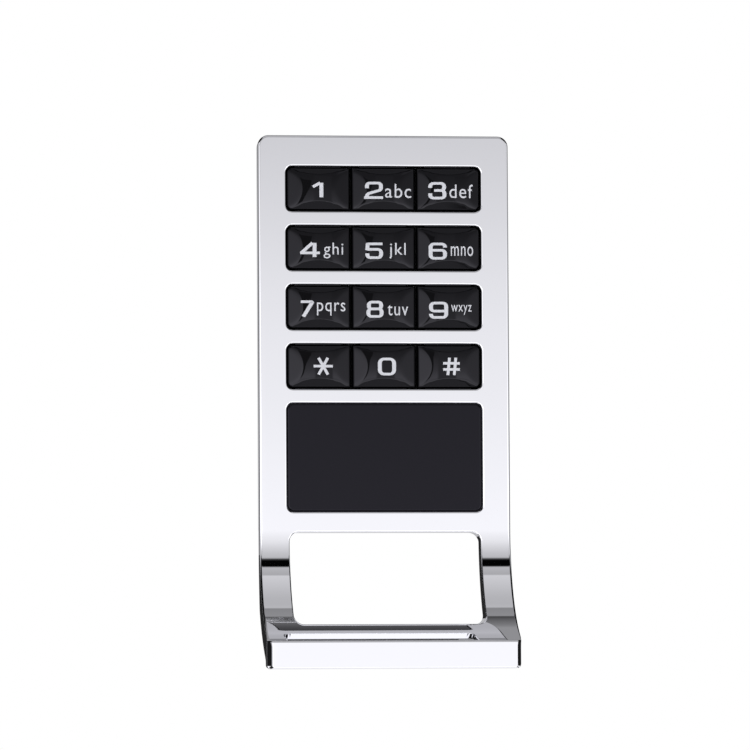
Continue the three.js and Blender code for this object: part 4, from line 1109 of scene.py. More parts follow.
@dataclass
class KeyShape:
    """The front of a key: a low dome cut by four sloping flanks, with a small steep edge all round.

    The height over the key's edge is the least of the dome's and the flanks', rounded where they meet,
    less a quarter circle's fall near the outline. Corners at the row's end follow the slot's, and those
    between two keys are nearly square; row_end is -1 or 1 where the left or right side ends the row.
    """

    half_x: float = 8.26 * MM
    half_z: float = 5.62 * MM
    end_radius: float = 1.6 * MM
    joint_radius: float = 0.45 * MM
    least_radius: float = 0.05 * MM
    row_end: int = 0
    edge_y: float = -7.3 * MM
    crown: float = 1.35 * MM
    dome_curve: float = 13.47
    flank_base: float = 0.12 * MM
    side_slope: float = math.tan(math.radians(14))
    top_slope: float = math.tan(math.radians(29))
    low_slope: float = math.tan(math.radians(24))
    ridge: float = 0.035 * MM
    edge_reach: float = 0.65 * MM
    edge_fall: float = 0.85 * MM
    step: float = 0.002 * MM
    side_steps: int = 20

    def y(self, x: Array, z: Array) -> Array:
        """The surface's y over the key's own X and Z."""
        flanks = (
            (self.half_x - x, self.side_slope),
            (self.half_x + x, self.side_slope),
            (self.half_z - z, self.top_slope),
            (self.half_z + z, self.low_slope),
        )
        dome = self.crown - self.dome_curve * (x**2 + z**2)
        heights = np.stack([dome] + [self.flank_base + reach * slope for reach, slope in flanks])
        radius = np.where(x * self.row_end > 0, self.end_radius, self.joint_radius)
        inside = np.clip(box_distance(x, z, self.half_x, self.half_z, radius) / self.edge_reach, 0, 1)
        fall = self.edge_fall * (1 - np.sqrt(1 - (1 - inside) ** 2))
        return self.edge_y - soft_min(heights, self.ridge) + fall

    def normal(self, x: Array, z: Array) -> Array:
        """The surface's outward normal, from the slope over a very small step each way."""
        slope_x = (self.y(x + self.step, z) - self.y(x - self.step, z)) / (2 * self.step)
        slope_z = (self.y(x, z + self.step) - self.y(x, z - self.step)) / (2 * self.step)
        return unit(upright(slope_x, slope_z, 0 * slope_x - 1))

    def inset_loop(self, inset: float) -> Array:
        """The outline at a distance inside itself, in step with every other inset."""
        radii = [self.end_radius if side == self.row_end else self.joint_radius for side in (1, 1, -1, -1)]
        corners = [plain(max(radius - inset, self.least_radius)) for radius in radii]
        low, high = inset - self.half_z, self.half_z - inset
        return closed(chains(self.half_x - inset, low, high, corners, self.side_steps))


@dataclass
class Key:
    """One moulded key: its shaped front, straight sides, the two tabs that hold it and its stem."""

    node: str
    shape: KeyShape = field(default_factory=KeyShape)
    pitch: float = 16.833 * MM
    inner_rows: int = 34
    edge_rows: int = 6
    row_power: float = 0.9
    just_inside: float = 0.9999999
    tab_half_width: float = 6 * MM
    tab_reach: float = 0.8 * MM
    tab_front: float = -6.2 * MM
    tab_back: float = -5.5 * MM
    tab_edge: float = 0.12 * MM
    stem_radius: float = 1.6 * MM
    stem_round: float = 0.3 * MM
    stem_tip: float = -4.65 * MM
    stem_sides: int = 24

    def __post_init__(self) -> None:
        """Finds the key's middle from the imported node, and which side of it ends the row."""
        self.x, _, self.z = middle_of(self.node).tolist()
        self.shape.row_end = round(self.x / self.pitch)

    def front(self, skin: Skin) -> None:
        """Adds the front: rows inset by a quarter circle's steps, then rows that shrink to the middle."""
        angle = np.linspace(0, QUARTER, self.edge_rows + 1)
        insets = self.shape.edge_reach * (1 - np.cos(angle))
        loops = np.stack([self.shape.inset_loop(float(inset)) for inset in insets])
        shares = np.linspace(1, 0, self.inner_rows + 1)[1:-1] ** self.row_power
        flat = np.concatenate([loops[..., :2], shares[:, None, None] * loops[-1][None, :, :2]])
        x, z = flat[..., 0], flat[..., 1]
        y, normals = self.shape.y(x, z), self.shape.normal(x, z)
        y[0] = self.shape.y(*(loops[0][:, :2] * self.just_inside).T)
        normals[0] = upright(loops[0][:, 2], loops[0][:, 3], FLAT)
        skin.grid(upright(x + self.x, z + self.z, y), normals, wrap=True)
        middle = upright(x[-1] + self.x, z[-1] + self.z, y[-1])
        skin.cap(middle, (0, -1, 0))
        side_y = np.stack([y[0], 0 * y[0] + self.tab_back])
        outer = upright(x[:1] + self.x, z[:1] + self.z, side_y)
        skin.grid(outer, normals[:1] + 0 * outer, wrap=True)
        skin.cap(outer[-1], (0, 1, 0))

    def build(self) -> None:
        """Builds the key."""
        skin = Skin()
        self.front(skin)
        reach = self.shape.half_z + self.tab_reach
        low = np.array([self.x - self.tab_half_width, self.z - reach])
        high = np.array([self.x + self.tab_half_width, self.z + reach])
        tabs = rounded_box(low, high, 2 * self.tab_edge)
        span = self.tab_front, self.tab_back - self.tab_edge / 4
        slab(skin, tabs, span, Lie.FACING_FRONT, self.tab_edge)
        stem = [(0, self.tab_front), (self.stem_radius, self.tab_front), (self.stem_radius, self.stem_tip)]
        stem = rounded_path([*stem, (0, self.stem_tip)], [0, 0, self.stem_round, 0], closed=False)
        lathe(skin, stem, (self.x, self.z), Lie.FACING_FRONT, self.stem_sides)
        piece(f"{self.node}_cap", skin, [KEY_BLACK], self.node)


# Legends


@dataclass(frozen=True)
class Box:
    """A rectangle on a key's face, in millimetres from the key's middle."""

    left: float
    right: float
    low: float
    high: float


@dataclass(frozen=True)
class Stroke:
    """A pen's way through a figure. Its corners are shares of the pen's reach: -1 to 1 each way."""

    corners: tuple[Pair, ...]
    bend_mm: float = 0.9
    closed: bool = False


@dataclass(frozen=True)
class Pen:
    """A broad pen: half its width across the figure and half its height."""

    half_x: float = 0.5
    half_z: float = 0.33


@dataclass(frozen=True)
class Legend:
    """What is printed on a key: a wide bold figure and maybe small letters."""

    figure: str
    box: Box
    letters: str = ""
    letter_box: Box | None = None


FIGURES: dict[str, tuple[Stroke, ...]] = {
    "1": (Stroke(((1, 1), (1, -1))), Stroke(((-1.1, 0.42), (0.75, 1.0)))),
    "2": (
        Stroke(((-1, 0.28), (-1, 1), (1, 1), (1, 0.05), (-1, -0.5), (-1, -1)), 0.75),
        Stroke(((-1.4, -1), (1.3, -1))),
    ),
    "3": (
        Stroke(((-1, 0.4), (-1, 1), (0.95, 1), (0.95, 0.04), (-0.45, 0.04)), 0.8),
        Stroke(((-0.45, 0.04), (1, 0.04), (1, -1), (-1, -1), (-1, -0.35)), 0.8),
    ),
    "4": (
        Stroke(((0.6, 1), (0.6, -1))),
        Stroke(((-1.15, -0.42), (1.25, -0.42))),
        Stroke(((-1.0, -0.4), (0.35, 1.0))),
    ),
    "5": (
        Stroke(((1.2, 1), (-0.95, 1), (-0.98, 0.1)), 0.12),
        Stroke(((-1, 0.2), (1, 0.2), (1, -1), (-1, -1), (-1, -0.38)), 0.85),
    ),
    "6": (Stroke(((1, 0.5), (1, 1), (-1, 1), (-1, -1), (1, -1), (1, 0.12), (-0.95, 0.12)), 0.85),),
    "7": (Stroke(((-1.2, 1), (0.9, 1), (-0.75, -1.1)), 0.2),),
    "8": (
        Stroke(((-0.92, 0.05), (0.92, 0.05), (0.92, 1), (-0.92, 1)), 0.7, True),
        Stroke(((-1, -1), (1, -1), (1, 0.05), (-1, 0.05)), 0.8, True),
    ),
    "9": (Stroke(((-1, -0.5), (-1, -1), (1, -1), (1, 1), (-1, 1), (-1, -0.12), (0.95, -0.12)), 0.85),),
    "0": (Stroke(((-1, -1), (1, -1), (1, 1), (-1, 1)), 1.1, True),),
    "*": (
        Stroke(((-1.25, 0), (1.25, 0))),
        Stroke(((-0.6, -1.15), (0.6, 1.15))),
        Stroke(((-0.6, 1.15), (0.6, -1.15))),
    ),
    "#": (
        Stroke(((-0.55, -1.2), (-0.3, 1.2))),
        Stroke(((0.4, -1.2), (0.65, 1.2))),
        Stroke(((-1.25, 0.42), (1.25, 0.42))),
        Stroke(((-1.25, -0.42), (1.25, -0.42))),
    ),
}
MARKS_PEN = Pen(0.36, 0.33)
LEGENDS = {
    "key_1": Legend("1", Box(-1.9, 1.2, -2.6, 1.8)),
    "key_2": Legend("2", Box(-4.8, -0.2, -2.6, 1.8), "abc", Box(0.35, 7.25, -2.3, 1.25)),
    "key_3": Legend("3", Box(-5.2, -0.55, -2.65, 1.8), "def", Box(0.25, 6.4, -2.3, 1.25)),
    "key_4": Legend("4", Box(-5, 0.2, -2.75, 1.55), "ghi", Box(1.2, 6.35, -2.75, 1.3)),
    "key_5": Legend("5", Box(-4.8, -0.25, -2.85, 1.35), "jkl", Box(1.35, 5.7, -2.75, 1.3)),
    "key_6": Legend("6", Box(-5.2, -0.5, -2.95, 1.4), "mno", Box(0.5, 6.4, -2, 0.5)),
    "key_7": Legend("7", Box(-4.95, -1.05, -2.65, 1.65), "pqrs", Box(-0.6, 6.85, -2.2, 1.15)),
    "key_8": Legend("8", Box(-4.6, -0.2, -2.75, 1.6), "tuv", Box(0.85, 6.25, -2.15, 0.6)),
    "key_9": Legend("9", Box(-5.2, -0.3, -2.95, 1.4), "wxyz", Box(0.5, 5.9, -1.95, 0.6)),
    "key_star": Legend("*", Box(-1.4, 3.3, -2.2, 2.2)),
    "key_0": Legend("0", Box(-1.75, 2.95, -2.35, 2.2)),
    "key_hash": Legend("#", Box(-1.6, 2.6, -2.2, 2.2)),
}


@dataclass
class Print:
    """A key's legend as a film of ink that follows the key's face."""

    node: str
    legend: Legend
    key: Key
    ink: float = 0.03 * MM
    sunk: float = 0.05 * MM
    spacing: float = 0.25 * MM
    bend_steps: int = 8
    apart: float = 1e-9
    stroke_rise: float = 0.002 * MM
    type_depth: float = 0.01
    type_spacing: float = 1.12
    type_ink: float = 0.039 * MM

    def lifted(self, x: Array, z: Array, height: float) -> Array:
        """Points over the key's own X and Z, a height in front of its face."""
        return upright(x + self.key.x, z + self.key.z, self.key.shape.y(x, z) - height)

    def stroke(self, skin: Skin, stroke: Stroke, pen: Pen, over: float) -> None:
        """Carries the pen along a stroke: each edge lies half the pen's width or height to its side.

        Args:
            skin: takes the faces.
            stroke: the pen's way.
            pen: the pen.
            over: a hair's height more, so that crossing strokes don't share a surface.
        """
        box = self.legend.box
        reach = np.array([(box.right - box.left) / 2 - pen.half_x, (box.high - box.low) / 2 - pen.half_z])
        middle = np.array([(box.left + box.right) / 2, (box.low + box.high) / 2])
        corners = (middle + np.array(stroke.corners) * reach) * MM
        radii = np.full(len(corners), stroke.bend_mm * MM)
        if not stroke.closed:
            radii[[0, -1]] = 0
        path, normals = rounded_path(corners, radii, self.bend_steps, closed=stroke.closed)
        if stroke.closed:
            path, normals = np.vstack([path, path[:1]]), np.vstack([normals, normals[:1]])
        run = length_along(path)
        keep = np.concatenate([[True], np.diff(run) > self.apart])
        run, path, normals = run[keep], path[keep], normals[keep]
        stops = np.union1d(run, np.linspace(0, run[-1], int(run[-1] / self.spacing) + 2))
        path = np.stack([np.interp(stops, run, path[:, k]) for k in range(2)], axis=1)
        normals = unit(np.stack([np.interp(stops, run, normals[:, k]) for k in range(2)], axis=1))
        side = normals * (pen.half_x * MM, pen.half_z * MM)
        x, z = np.moveaxis(np.stack([path + side, path - side]), -1, 0)
        top, low = self.lifted(x, z, self.ink + over), self.lifted(x, z, -self.sunk)
        facing = self.key.shape.normal(x, z)
        across = upright(normals[:, 0], normals[:, 1], FLAT)
        skin.grid(top, facing)
        skin.grid(low, -facing)
        for edge, outward in ((0, across), (1, -across)):
            skin.grid(np.stack([top[edge], low[edge]]), np.stack([outward, outward]))
        if not stroke.closed:
            along = upright(-normals[:, 1], normals[:, 0], FLAT)
            for end, way in ((0, -1), (-1, 1)):
                skin.cap(np.array([top[0, end], top[1, end], low[1, end], low[0, end]]), way * along[end])

    def letters(self) -> bpy.types.Mesh:
        """The small letters: plain type, stretched to its box and laid on the key's face."""
        box = self.legend.letter_box
        curve = bpy.data.curves.new("letters", "FONT")
        curve.body, curve.extrude = self.legend.letters, self.type_depth
        curve.space_character = self.type_spacing
        carrier = new_object("letters", curve)
        made = bpy.data.meshes.new_from_object(carrier.evaluated_get(bpy.context.evaluated_depsgraph_get()))
        bpy.data.objects.remove(carrier)
        flat = np.empty(3 * len(made.vertices))
        made.vertices.foreach_get("co", flat)
        flat = flat.reshape(-1, 3)
        share = (flat - flat.min(axis=0)) / np.ptp(flat, axis=0)
        x = (box.left + (box.right - box.left) * share[:, 0]) * MM
        z = (box.low + (box.high - box.low) * share[:, 1]) * MM
        placed = self.lifted(x, z, 0.0)
        placed[:, 1] -= np.where(share[:, 2] > 0.5, self.type_ink, -self.sunk)
        made.vertices.foreach_set("co", placed.ravel())
        made.update()
        return made

    def build(self) -> None:
        """Prints the legend."""
        pen = MARKS_PEN if self.legend.figure in "*#" else Pen()
        skin = Skin()
        for k, stroke in enumerate(FIGURES[self.legend.figure]):
            self.stroke(skin, stroke, pen, k * self.stroke_rise)
        shapes = {"figure": skin}
        if self.legend.letters:
            shapes["letters"] = self.letters()
        for name, shape in shapes.items():
            piece(f"{self.node}_{name}", shape, [LEGEND_INK], self.node, replaces=False)


@dataclass
class ReaderWindow:
    """The black acrylic window over the card reader, with its rounded edge and the rim behind."""

    radius: float = 1.6 * MM
    face: float = -7.7 * MM
    back: float = -5.4 * MM
    rim_front: float = -6.2 * MM
    edge: float = 0.45 * MM
    half_x: float = 25.1 * MM
    span: Pair = (2.8 * MM, 30.4 * MM)
    rim_edge: float = 0.15 * MM
    corner_steps: int = 8
    edge_steps: int = 5

    def build(self) -> None:
        """Builds the window."""
        skin, node = Skin(), "reader_window"
        low, high = np.array([-self.half_x, self.span[0]]), np.array([self.half_x, self.span[1]])
        glass = rounded_box(low, high, self.radius, self.corner_steps)
        slab(skin, glass, (self.face, self.back), Lie.FACING_FRONT, self.edge, self.edge_steps)
        box_low, box_high = corners_of(node)
        rim = rounded_box(box_low[[0, 2]], box_high[[0, 2]], 2 * self.rim_edge)
        slab(skin, rim, (self.rim_front, self.back - self.rim_edge / 4), Lie.FACING_FRONT, self.rim_edge)
        piece("reader_glass", skin, [WINDOW_BLACK], node)


# Fasteners


# The step that a slope is taken over, as a share of the parameter's range.
SLOPE_STEP = 1e-5


def curved(
    skin: Skin, shape: Callable[[Array, Array], Array], u: Array, v: Array, facing: int
) -> Array:
    """Adds a surface given as a function of two parameters on a grid that closes round v.

    The normal is the cross product of the two slopes, each taken over a very small step.

    Args:
        skin: takes the faces.
        shape: turns arrays of u and v into points.
        u: the rows' values.
        v: the columns' values.
        facing: 1 or -1, the side of the cross product that is outside.

    Returns:
        The grid's points.
    """
    u, v = np.meshgrid(u, v, indexing="ij")
    points = shape(u, v)
    du, dv = SLOPE_STEP * np.ptp(u), SLOPE_STEP * np.ptp(v)
    along_u = shape(u + du, v) - shape(u - du, v)
    along_v = shape(u, v + dv) - shape(u, v - dv)
    skin.grid(points, facing * unit(np.cross(along_u, along_v)), wrap=True)
    return points


@dataclass
class Screw:
    """A small pan-head screw with a cross recess and a rolled thread."""

    node: str
    shank: float = 1.0 * MM
    thread_depth: float = 0.14 * MM
    thread_power: float = 0.7
    pitch: float = 0.6 * MM
    head_radius: float = 1.9 * MM
    head_height: float = 1.1 * MM
    head_round: float = 0.45 * MM
    crown: float = 0.12 * MM
    arm_half: float = 0.26 * MM
    arm_reach: float = 1.05 * MM
    recess: float = 0.7 * MM
    recess_rise: float = 0.3
    soft: float = 0.16 * MM
    point: float = 0.7 * MM
    point_share: float = 0.35
    columns: int = 64
    per_turn: int = 6
    head_rows: tuple[tuple[float, float, int], ...] = ((0.02, 0.62, 18), (0.66, 1.0, 10))

    def __post_init__(self) -> None:
        """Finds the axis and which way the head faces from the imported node."""
        low, high = corners_of(self.node)
        self.x, _, self.z = middle_of(self.node).tolist()
        self.way = -1 if self.node.startswith("keeper") else 1
        self.tip = float(low[1] if self.way > 0 else high[1])
        self.length = float(high[1] - low[1]) - self.head_height

    def at(self, x: Array, z: Array, height: Array) -> Array:
        """Points at a place across the axis and a height above the tip."""
        return upright(self.x + x, self.z + z, self.tip + self.way * height)

    def thread(self, height: Array, angle: Array) -> Array:
        """The shank: its radius falls and rises once a pitch, and slopes in to the point."""
        phase = (height / self.pitch - angle / TURN) % 1
        radius = self.shank - self.thread_depth * np.abs(2 * phase - 1) ** self.thread_power
        widening = self.point_share + (1 - self.point_share) * height / self.point
        radius = radius * np.clip(widening, self.point_share, 1)
        return self.at(radius * np.cos(angle), radius * np.sin(angle), height)

    def head(self, radius: Array, angle: Array) -> Array:
        """The head's top: a flat crown, falling off near the rim, less the cross recess."""
        x, z = radius * np.cos(angle), radius * np.sin(angle)
        rim = np.clip((radius - self.head_radius + self.head_round) / self.head_round, 0, 1)
        fall = self.crown * (radius / self.head_radius) ** 2
        fall = fall + self.head_round * (1 - np.sqrt(1 - np.clip(rim, 0, STEEPEST) ** 2))

        def arm(a: Array, b: Array) -> Array:
            """From 0 outside an arm of the cross to 1 at its bottom."""
            narrow = np.clip((self.arm_half - np.abs(b)) / self.soft + 0.5, 0, 1)
            short = np.clip((self.arm_reach - np.abs(a)) / (2 * self.soft) + 0.5, 0, 1)
            return narrow * short

        depth = self.recess * np.maximum(arm(x, z), arm(z, x))
        depth = depth * (1 - self.recess_rise * radius / self.head_radius)
        return self.at(x, z, self.length + self.head_height - fall - depth)

    def build(self) -> None:
        """Builds the screw."""
        skin = Skin()
        around = round_angles(self.columns)
        turns = self.length / self.pitch
        heights = np.linspace(0, self.length, int(turns * self.per_turn) + 1)
        shank = curved(skin, self.thread, heights, around[::2], -self.way)
        skin.cap(shank[0], (0, -self.way, 0))
        radii = np.concatenate([np.linspace(*rows) for rows in self.head_rows]) * self.head_radius
        top = curved(skin, self.head, radii, around, self.way)
        skin.cap(top[0], (0, self.way, 0))
        x, z = np.cos(around), np.sin(around)
        low = self.at(self.head_radius * x, self.head_radius * z, self.length + 0 * x)
        outward = upright(x, z, 0 * x)
        skin.grid(np.stack([top[-1], low]), np.stack([outward, outward]), wrap=True)
        skin.cap(low, (0, -self.way, 0))
        piece(f"{self.node}_turned", skin, [SCREW_STEEL], self.node)


@dataclass
class ThreadInsert:
    """A brass insert for a door screw, its outside knurled in two bands round a plain waist."""

    node: str
    radius: float = 2.3 * MM
    bore: float = 1.3 * MM
    thread: float = 0.18 * MM
    pitch: float = 0.5 * MM
    knurl: float = 0.16 * MM
    teeth: int = 24
    slant: float = 1.2
    waist: float = 0.35 * MM
    waist_share: float = 0.09
    chamfer: float = 0.35 * MM
    columns: int = 96
    outer_rows: int = 15
    inner_rows: int = 61

    def __post_init__(self) -> None:
        """Finds the insert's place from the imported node."""
        low, high = corners_of(self.node)
        self.x, _, self.z = middle_of(self.node).tolist()
        self.low, self.high = float(low[1]), float(high[1])

    def outside(self, y: Array, angle: Array) -> Array:
        """The outside: teeth slanted one way in the upper band and the other way in the lower."""
        share = (y - self.low) / (self.high - self.low)
        slant = np.abs(share - 0.5) * self.slant
        teeth = self.knurl * (0.5 + 0.5 * np.cos(self.teeth * (angle + slant)))
        waist = np.exp(-(((share - 0.5) / self.waist_share) ** 2))
        radius = self.radius - teeth * (1 - waist) - self.waist * waist
        return upright(self.x + radius * np.cos(angle), self.z + radius * np.sin(angle), y)

    def inside(self, y: Array, angle: Array) -> Array:
        """The tapped bore: one groove a pitch, and a chamfer at the mouth."""
        phase = (y / self.pitch - angle / TURN) % 1
        radius = self.bore + self.thread * np.abs(2 * phase - 1)
        mouth = np.clip((y - self.high + self.chamfer) / self.chamfer, 0, 1)
        radius = radius * (1 - mouth) + (self.bore + self.chamfer) * mouth
        return upright(self.x + radius * np.cos(angle), self.z + radius * np.sin(angle), y)

    def build(self) -> None:
        """Builds the insert."""
        skin = Skin()
        around = round_angles(self.columns)
        outer = curved(skin, self.outside, np.linspace(self.low, self.high, self.outer_rows), around, -1)
        inner = curved(skin, self.inside, np.linspace(self.low, self.high, self.inner_rows), around, 1)
        for row, facing in ((0, -1.0), (-1, 1.0)):
            ends = np.stack([outer[row], inner[row]])
            skin.grid(ends, np.array([0.0, facing, 0.0]) + 0 * ends, wrap=True)
        piece(f"{self.node}_knurled", skin, [BRASS], self.node)


# Power


@dataclass
class Cell:
    """An AAA cell: a film sleeve folded over both rims, a pip at one end and a disc at the other."""

    node: str
    nub_up: bool
    radius: float = 5.25 * MM
    fold: float = 0.45 * MM
    rim_radius: float = 4.1 * MM
    nub_radius: float = 1.9 * MM
    nub_length: float = 1.0 * MM
    sink: float = 0.25 * MM
    band_share: float = 0.7
    crimp: float = 0.12 * MM
    crimp_reach: float = 0.36 * MM
    crimp_from_top: float = 2.2 * MM
    small_bend: float = 0.1 * MM
    pip_foot: float = 0.2 * MM
    soft_bend: float = 0.3 * MM
    sides: int = 64

    def build(self) -> None:
        """Builds the cell."""
        low, high = corners_of(self.node)
        middle, length = middle_of(self.node), float(high[2] - low[2]) - self.nub_length
        split, crimp_z = length * self.band_share, length - self.crimp_from_top
        rim, wide, pip, tip = self.rim_radius, self.radius, self.nub_radius, length + self.nub_length
        sink, reach = self.sink, self.crimp_reach
        disc = [(0, sink), (rim - sink, sink), (rim, 0)]
        lower = [(rim, 0), (wide, 0), (wide, split)]
        upper = [(wide, split), (wide, crimp_z - reach), (wide - self.crimp, crimp_z)]
        upper += [(wide, crimp_z + reach), (wide, length), (rim, length)]
        nub = [(rim, length), (rim - sink, length - sink), (pip + sink, length - sink)]
        nub += [(pip, length + sink), (pip, tip), (0, tip)]
        small, soft = self.small_bend, self.soft_bend
        parts = [
            (disc, [0, small, 0], 1),
            (lower, [0, self.fold, 0], 0),
            (upper, [0, soft, soft, soft, self.fold, 0], 2),
            (nub, [0, small, soft, self.pip_foot, soft, 0], 1),
        ]
        skin = Skin()
        base, way = (float(low[2]), 1) if self.nub_up else (float(high[2]), -1)
        centre = float(middle[0]), float(middle[1])
        for corners, radii, slot in parts:
            points, normals = rounded_path(corners, radii, closed=False)
            profile = points * (1, way) + (0, base), normals * (1, way)
            lathe(skin, profile, centre, Lie.FACING_UP, self.sides, slot)
        finishes = SLEEVE_BLUE, SCREW_STEEL, SLEEVE_DARK
        piece(f"{self.node}_wrapped", skin, finishes, self.node)


@dataclass
class Contact:
    """A pressed contact plate, with a coned spring where a cell's flat end sits and maybe a tag."""

    node: str
    cell: str = ""
    up: bool = True
    tag: bool = False
    thickness: float = 0.5 * MM
    corner: float = 1.2 * MM
    edge: float = 0.12 * MM
    spring_length: float = 4.1 * MM
    base_radius: float = 3.1 * MM
    tip_radius: float = 1.95 * MM
    wire: float = 0.28 * MM
    wire_sides: int = 10
    turns: float = 4.0
    flat_share: float = 0.12
    spring_points: int = 260
    tag_width: float = 3 * MM
    tag_corner: float = 0.4 * MM
    corner_steps: int = 5

    def spring(self, skin: Skin, base: float) -> None:
        """Adds the spring: a helix whose radius shrinks evenly, with a flat turn at each end."""
        middle, way = middle_of(self.cell), 1 if self.up else -1
        t = np.linspace(0, 1, self.spring_points)
        angle = TURN * (self.turns + 1) * t
        rise = ease(np.clip((t - self.flat_share) / (1 - 2 * self.flat_share), 0, 1))
        radius = self.base_radius + (self.tip_radius - self.base_radius) * t
        across = lay(np.cos(angle), np.sin(angle), 0 * t, Lie.FACING_UP)
        height = base + way * (self.wire + (self.spring_length - 2 * self.wire) * rise)
        centre = lay(middle[0], middle[1], height, Lie.FACING_UP)
        tube(skin, centre + radius[:, None] * across, across, self.wire, self.wire_sides)

    def build(self) -> None:
        """Builds the contact."""
        skin = Skin()
        low, high = corners_of(self.node)
        top = float(corners_of("contact_link_right")[1][2])
        start = float(low[2]) if self.up else top - self.thickness
        outline = rounded_box(low[:2], high[:2], self.corner, self.corner_steps)
        slab(skin, outline, (start, start + self.thickness), Lie.FACING_UP, self.edge)
        if self.cell:
            self.spring(skin, start + self.thickness if self.up else start)
        if self.tag:
            middle, half, thick = (low + high) / 2, self.tag_width / 2, self.thickness / 2
            tag_low = np.array([middle[0] - half, start + thick])
            tag_high = np.array([middle[0] + half, high[2]])
            tag = rounded_box(tag_low, tag_high, self.tag_corner)
            span = float(middle[1]) - thick, float(middle[1]) + thick
            slab(skin, tag, span, Lie.FACING_FRONT, self.edge)
        piece(f"{self.node}_pressed", skin, [NICKEL], self.node)


MOTOR_ROUTE = (
    (15.1, 3.4, 57.1), (15.1, 6.6, 56), (15.3, 8, 50), (15.1, 8.6, 42), (14.6, 10, 34),
    (13.7, 13.6, 27.4), (12.9, 17.6, 24.3), (12.7, 19.9, 25.2), (12.7, 20.1, 27.6),
)
BATTERY_ROUTE = (
    (10.6, 3.4, 57.1), (9.8, 6, 57.6), (5, 7, 60), (-3, 7, 65), (-11, 7.2, 71), (-16, 8.4, 74.6),
    (-18.2, 12, 75.8), (-18.45, 17, 75.9), (-18.45, 23, 75.9), (-18.45, 29, 75.9),
)


@dataclass
class Lead:
    """Two insulated wires twisted together along a route inside the case."""

    node: str
    route: Sequence[Sequence[float]]
    beside: tuple[float, float, float]
    wire: float = 0.43 * MM
    offset: float = 0.45 * MM
    lay_length: float = 9 * MM
    per_span: int = 16
    sides: int = 12

    def build(self) -> None:
        """Builds the pair: each wire circles the route's curve once in the lay's length."""
        skin = Skin()
        curve = through_points(np.array(self.route) * MM, self.per_span)
        along, run = unit(np.gradient(curve, axis=0)), length_along(curve)
        first = unit(np.cross(along, np.array(self.beside)))
        second = np.cross(along, first)
        for k in range(2):
            angle = (TURN * run / self.lay_length + k * math.pi)[:, None]
            across = np.cos(angle) * first + np.sin(angle) * second
            tube(skin, curve + self.offset * across, across, self.wire, self.sides, k)
        piece(f"{self.node}_pair", skin, [PVC_RED, PVC_BLACK], self.node)


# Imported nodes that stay


@dataclass(frozen=True)
class Kept:
    """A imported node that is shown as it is, with its edges broken and its own finish."""

    finish: Finish
    edge_mm: float
    segments: int = 2
    weld: float = 2e-6
    flat_angle: float = math.radians(1)
    edge_angle: float = math.radians(40)

    def dress(self, node: str) -> None:
        """Sets the material and the modifiers that weld the node, join its flats and round its edges."""
        shown = frame["nodes"][node]
        if not shown.material_slots:
            shown.data.materials.append(None)
        for slot in shown.material_slots:
            slot.material = self.finish.material()
        weld = shown.modifiers.new("weld", "WELD")
        weld.merge_threshold = self.weld
        flat = shown.modifiers.new("join flats", "DECIMATE")
        flat.decimate_type = "DISSOLVE"
        flat.angle_limit = self.flat_angle
        bevel = shown.modifiers.new("edges", "BEVEL")
        bevel.width = self.edge_mm * MM
        bevel.segments = self.segments
        bevel.limit_method = "ANGLE"
        bevel.angle_limit = self.edge_angle
        bevel.harden_normals = True
        log.info("%s: kept", node)


KEPT = {
    "rear_case": Kept(CASE_ABS, 0.35, 3),
    "battery_cover": Kept(CASE_ABS, 0.15),
    # The mat's near-black colour is partly painted shade for the gaps between the keys.
    "keypad_mat": Kept(SILICONE_WITH_GAP_SHADE, 0.1),
    "door_gasket": Kept(FOAM, 0.1),
    "main_board": Kept(LAMINATE, 0.05),
    "antenna_board": Kept(LAMINATE, 0.05),
    "antenna_coil": Kept(COPPER, 0.03),
    "reader_ribbon": Kept(FILM, 0.05),
    "processor": Kept(EPOXY, 0.12),
    "buzzer": Kept(EPOXY, 0.3, 3),
    "lead_socket": Kept(NYLON, 0.2),
    "bolt": Kept(BOLT_STEEL, 0.1),
    "bolt_chassis": Kept(BOLT_STEEL, 0.12),
    "bolt_keeper": Kept(BOLT_STEEL, 0.12),
    "output_shaft": Kept(BOLT_STEEL, 0.08),
    "pinion": Kept(BRASS, 0.05),
    "gearbox": Kept(BRASS, 0.3),
    "motor_can": Kept(NICKEL, 0.3, 3),
    "motor_bracket": Kept(NYLON, 0.2),
}


# Studio


BLACK = (0.0, 0.0, 0.0, 1.0)
# For a map range that goes from 0 to 1 along a smooth cubic as its value goes from socket 1 to socket 2.
SMOOTH = {"interpolation_type": "SMOOTHSTEP"}
# The strongest linear level of light that a mirrored surface gives.
LIGHT_TOP = 2.7
# How much more blue than red and green the light has, as the photograph's greys do.
BLUE_SHARE = 1.03
# Degrees over the horizon in front, and the light from there. 90 is straight up and 180 straight back.
HEIGHT_BANDS = (
    (-180, 0.5), (-115, 0.5), (-85, 1.1), (-60, 1.4), (-30, 1.6), (-10, 1.6), (0, 1.1), (5, 0.6),
    (12, 0.45), (29, 0.5), (29.6, 0.001), (36.8, 0.001), (37.4, 0.52), (41.5, 0.47), (45.4, 0.43),
    (46, 0.67), (57, 0.59), (63.6, 0.54), (70.4, 0.5), (77.5, 0.49), (82, 0.52), (82.8, 0.26),
    (93, 0.29), (94.2, 0.06), (98, 0.12), (107, 0.22), (111, 0.3), (140, 0.3), (155, 0.45), (180, 0.5),
)
# Degrees round from straight in front, left negative, and the light from the sides.
SIDE_BANDS = (
    (-180, 0.5), (-160, 0.4), (-152, 0.01), (-106, 0.01), (-102, 0.4), (-90, 0.5), (-60, 0.62),
    (-42, 0.85), (-30, 1.4), (0, 0.6), (30, 0.8), (38, 0.95), (50, 0.7), (70, 0.5), (90, 0.42),
    (102, 0.36), (106, 0.01), (152, 0.01), (160, 0.4), (180, 0.5),
)
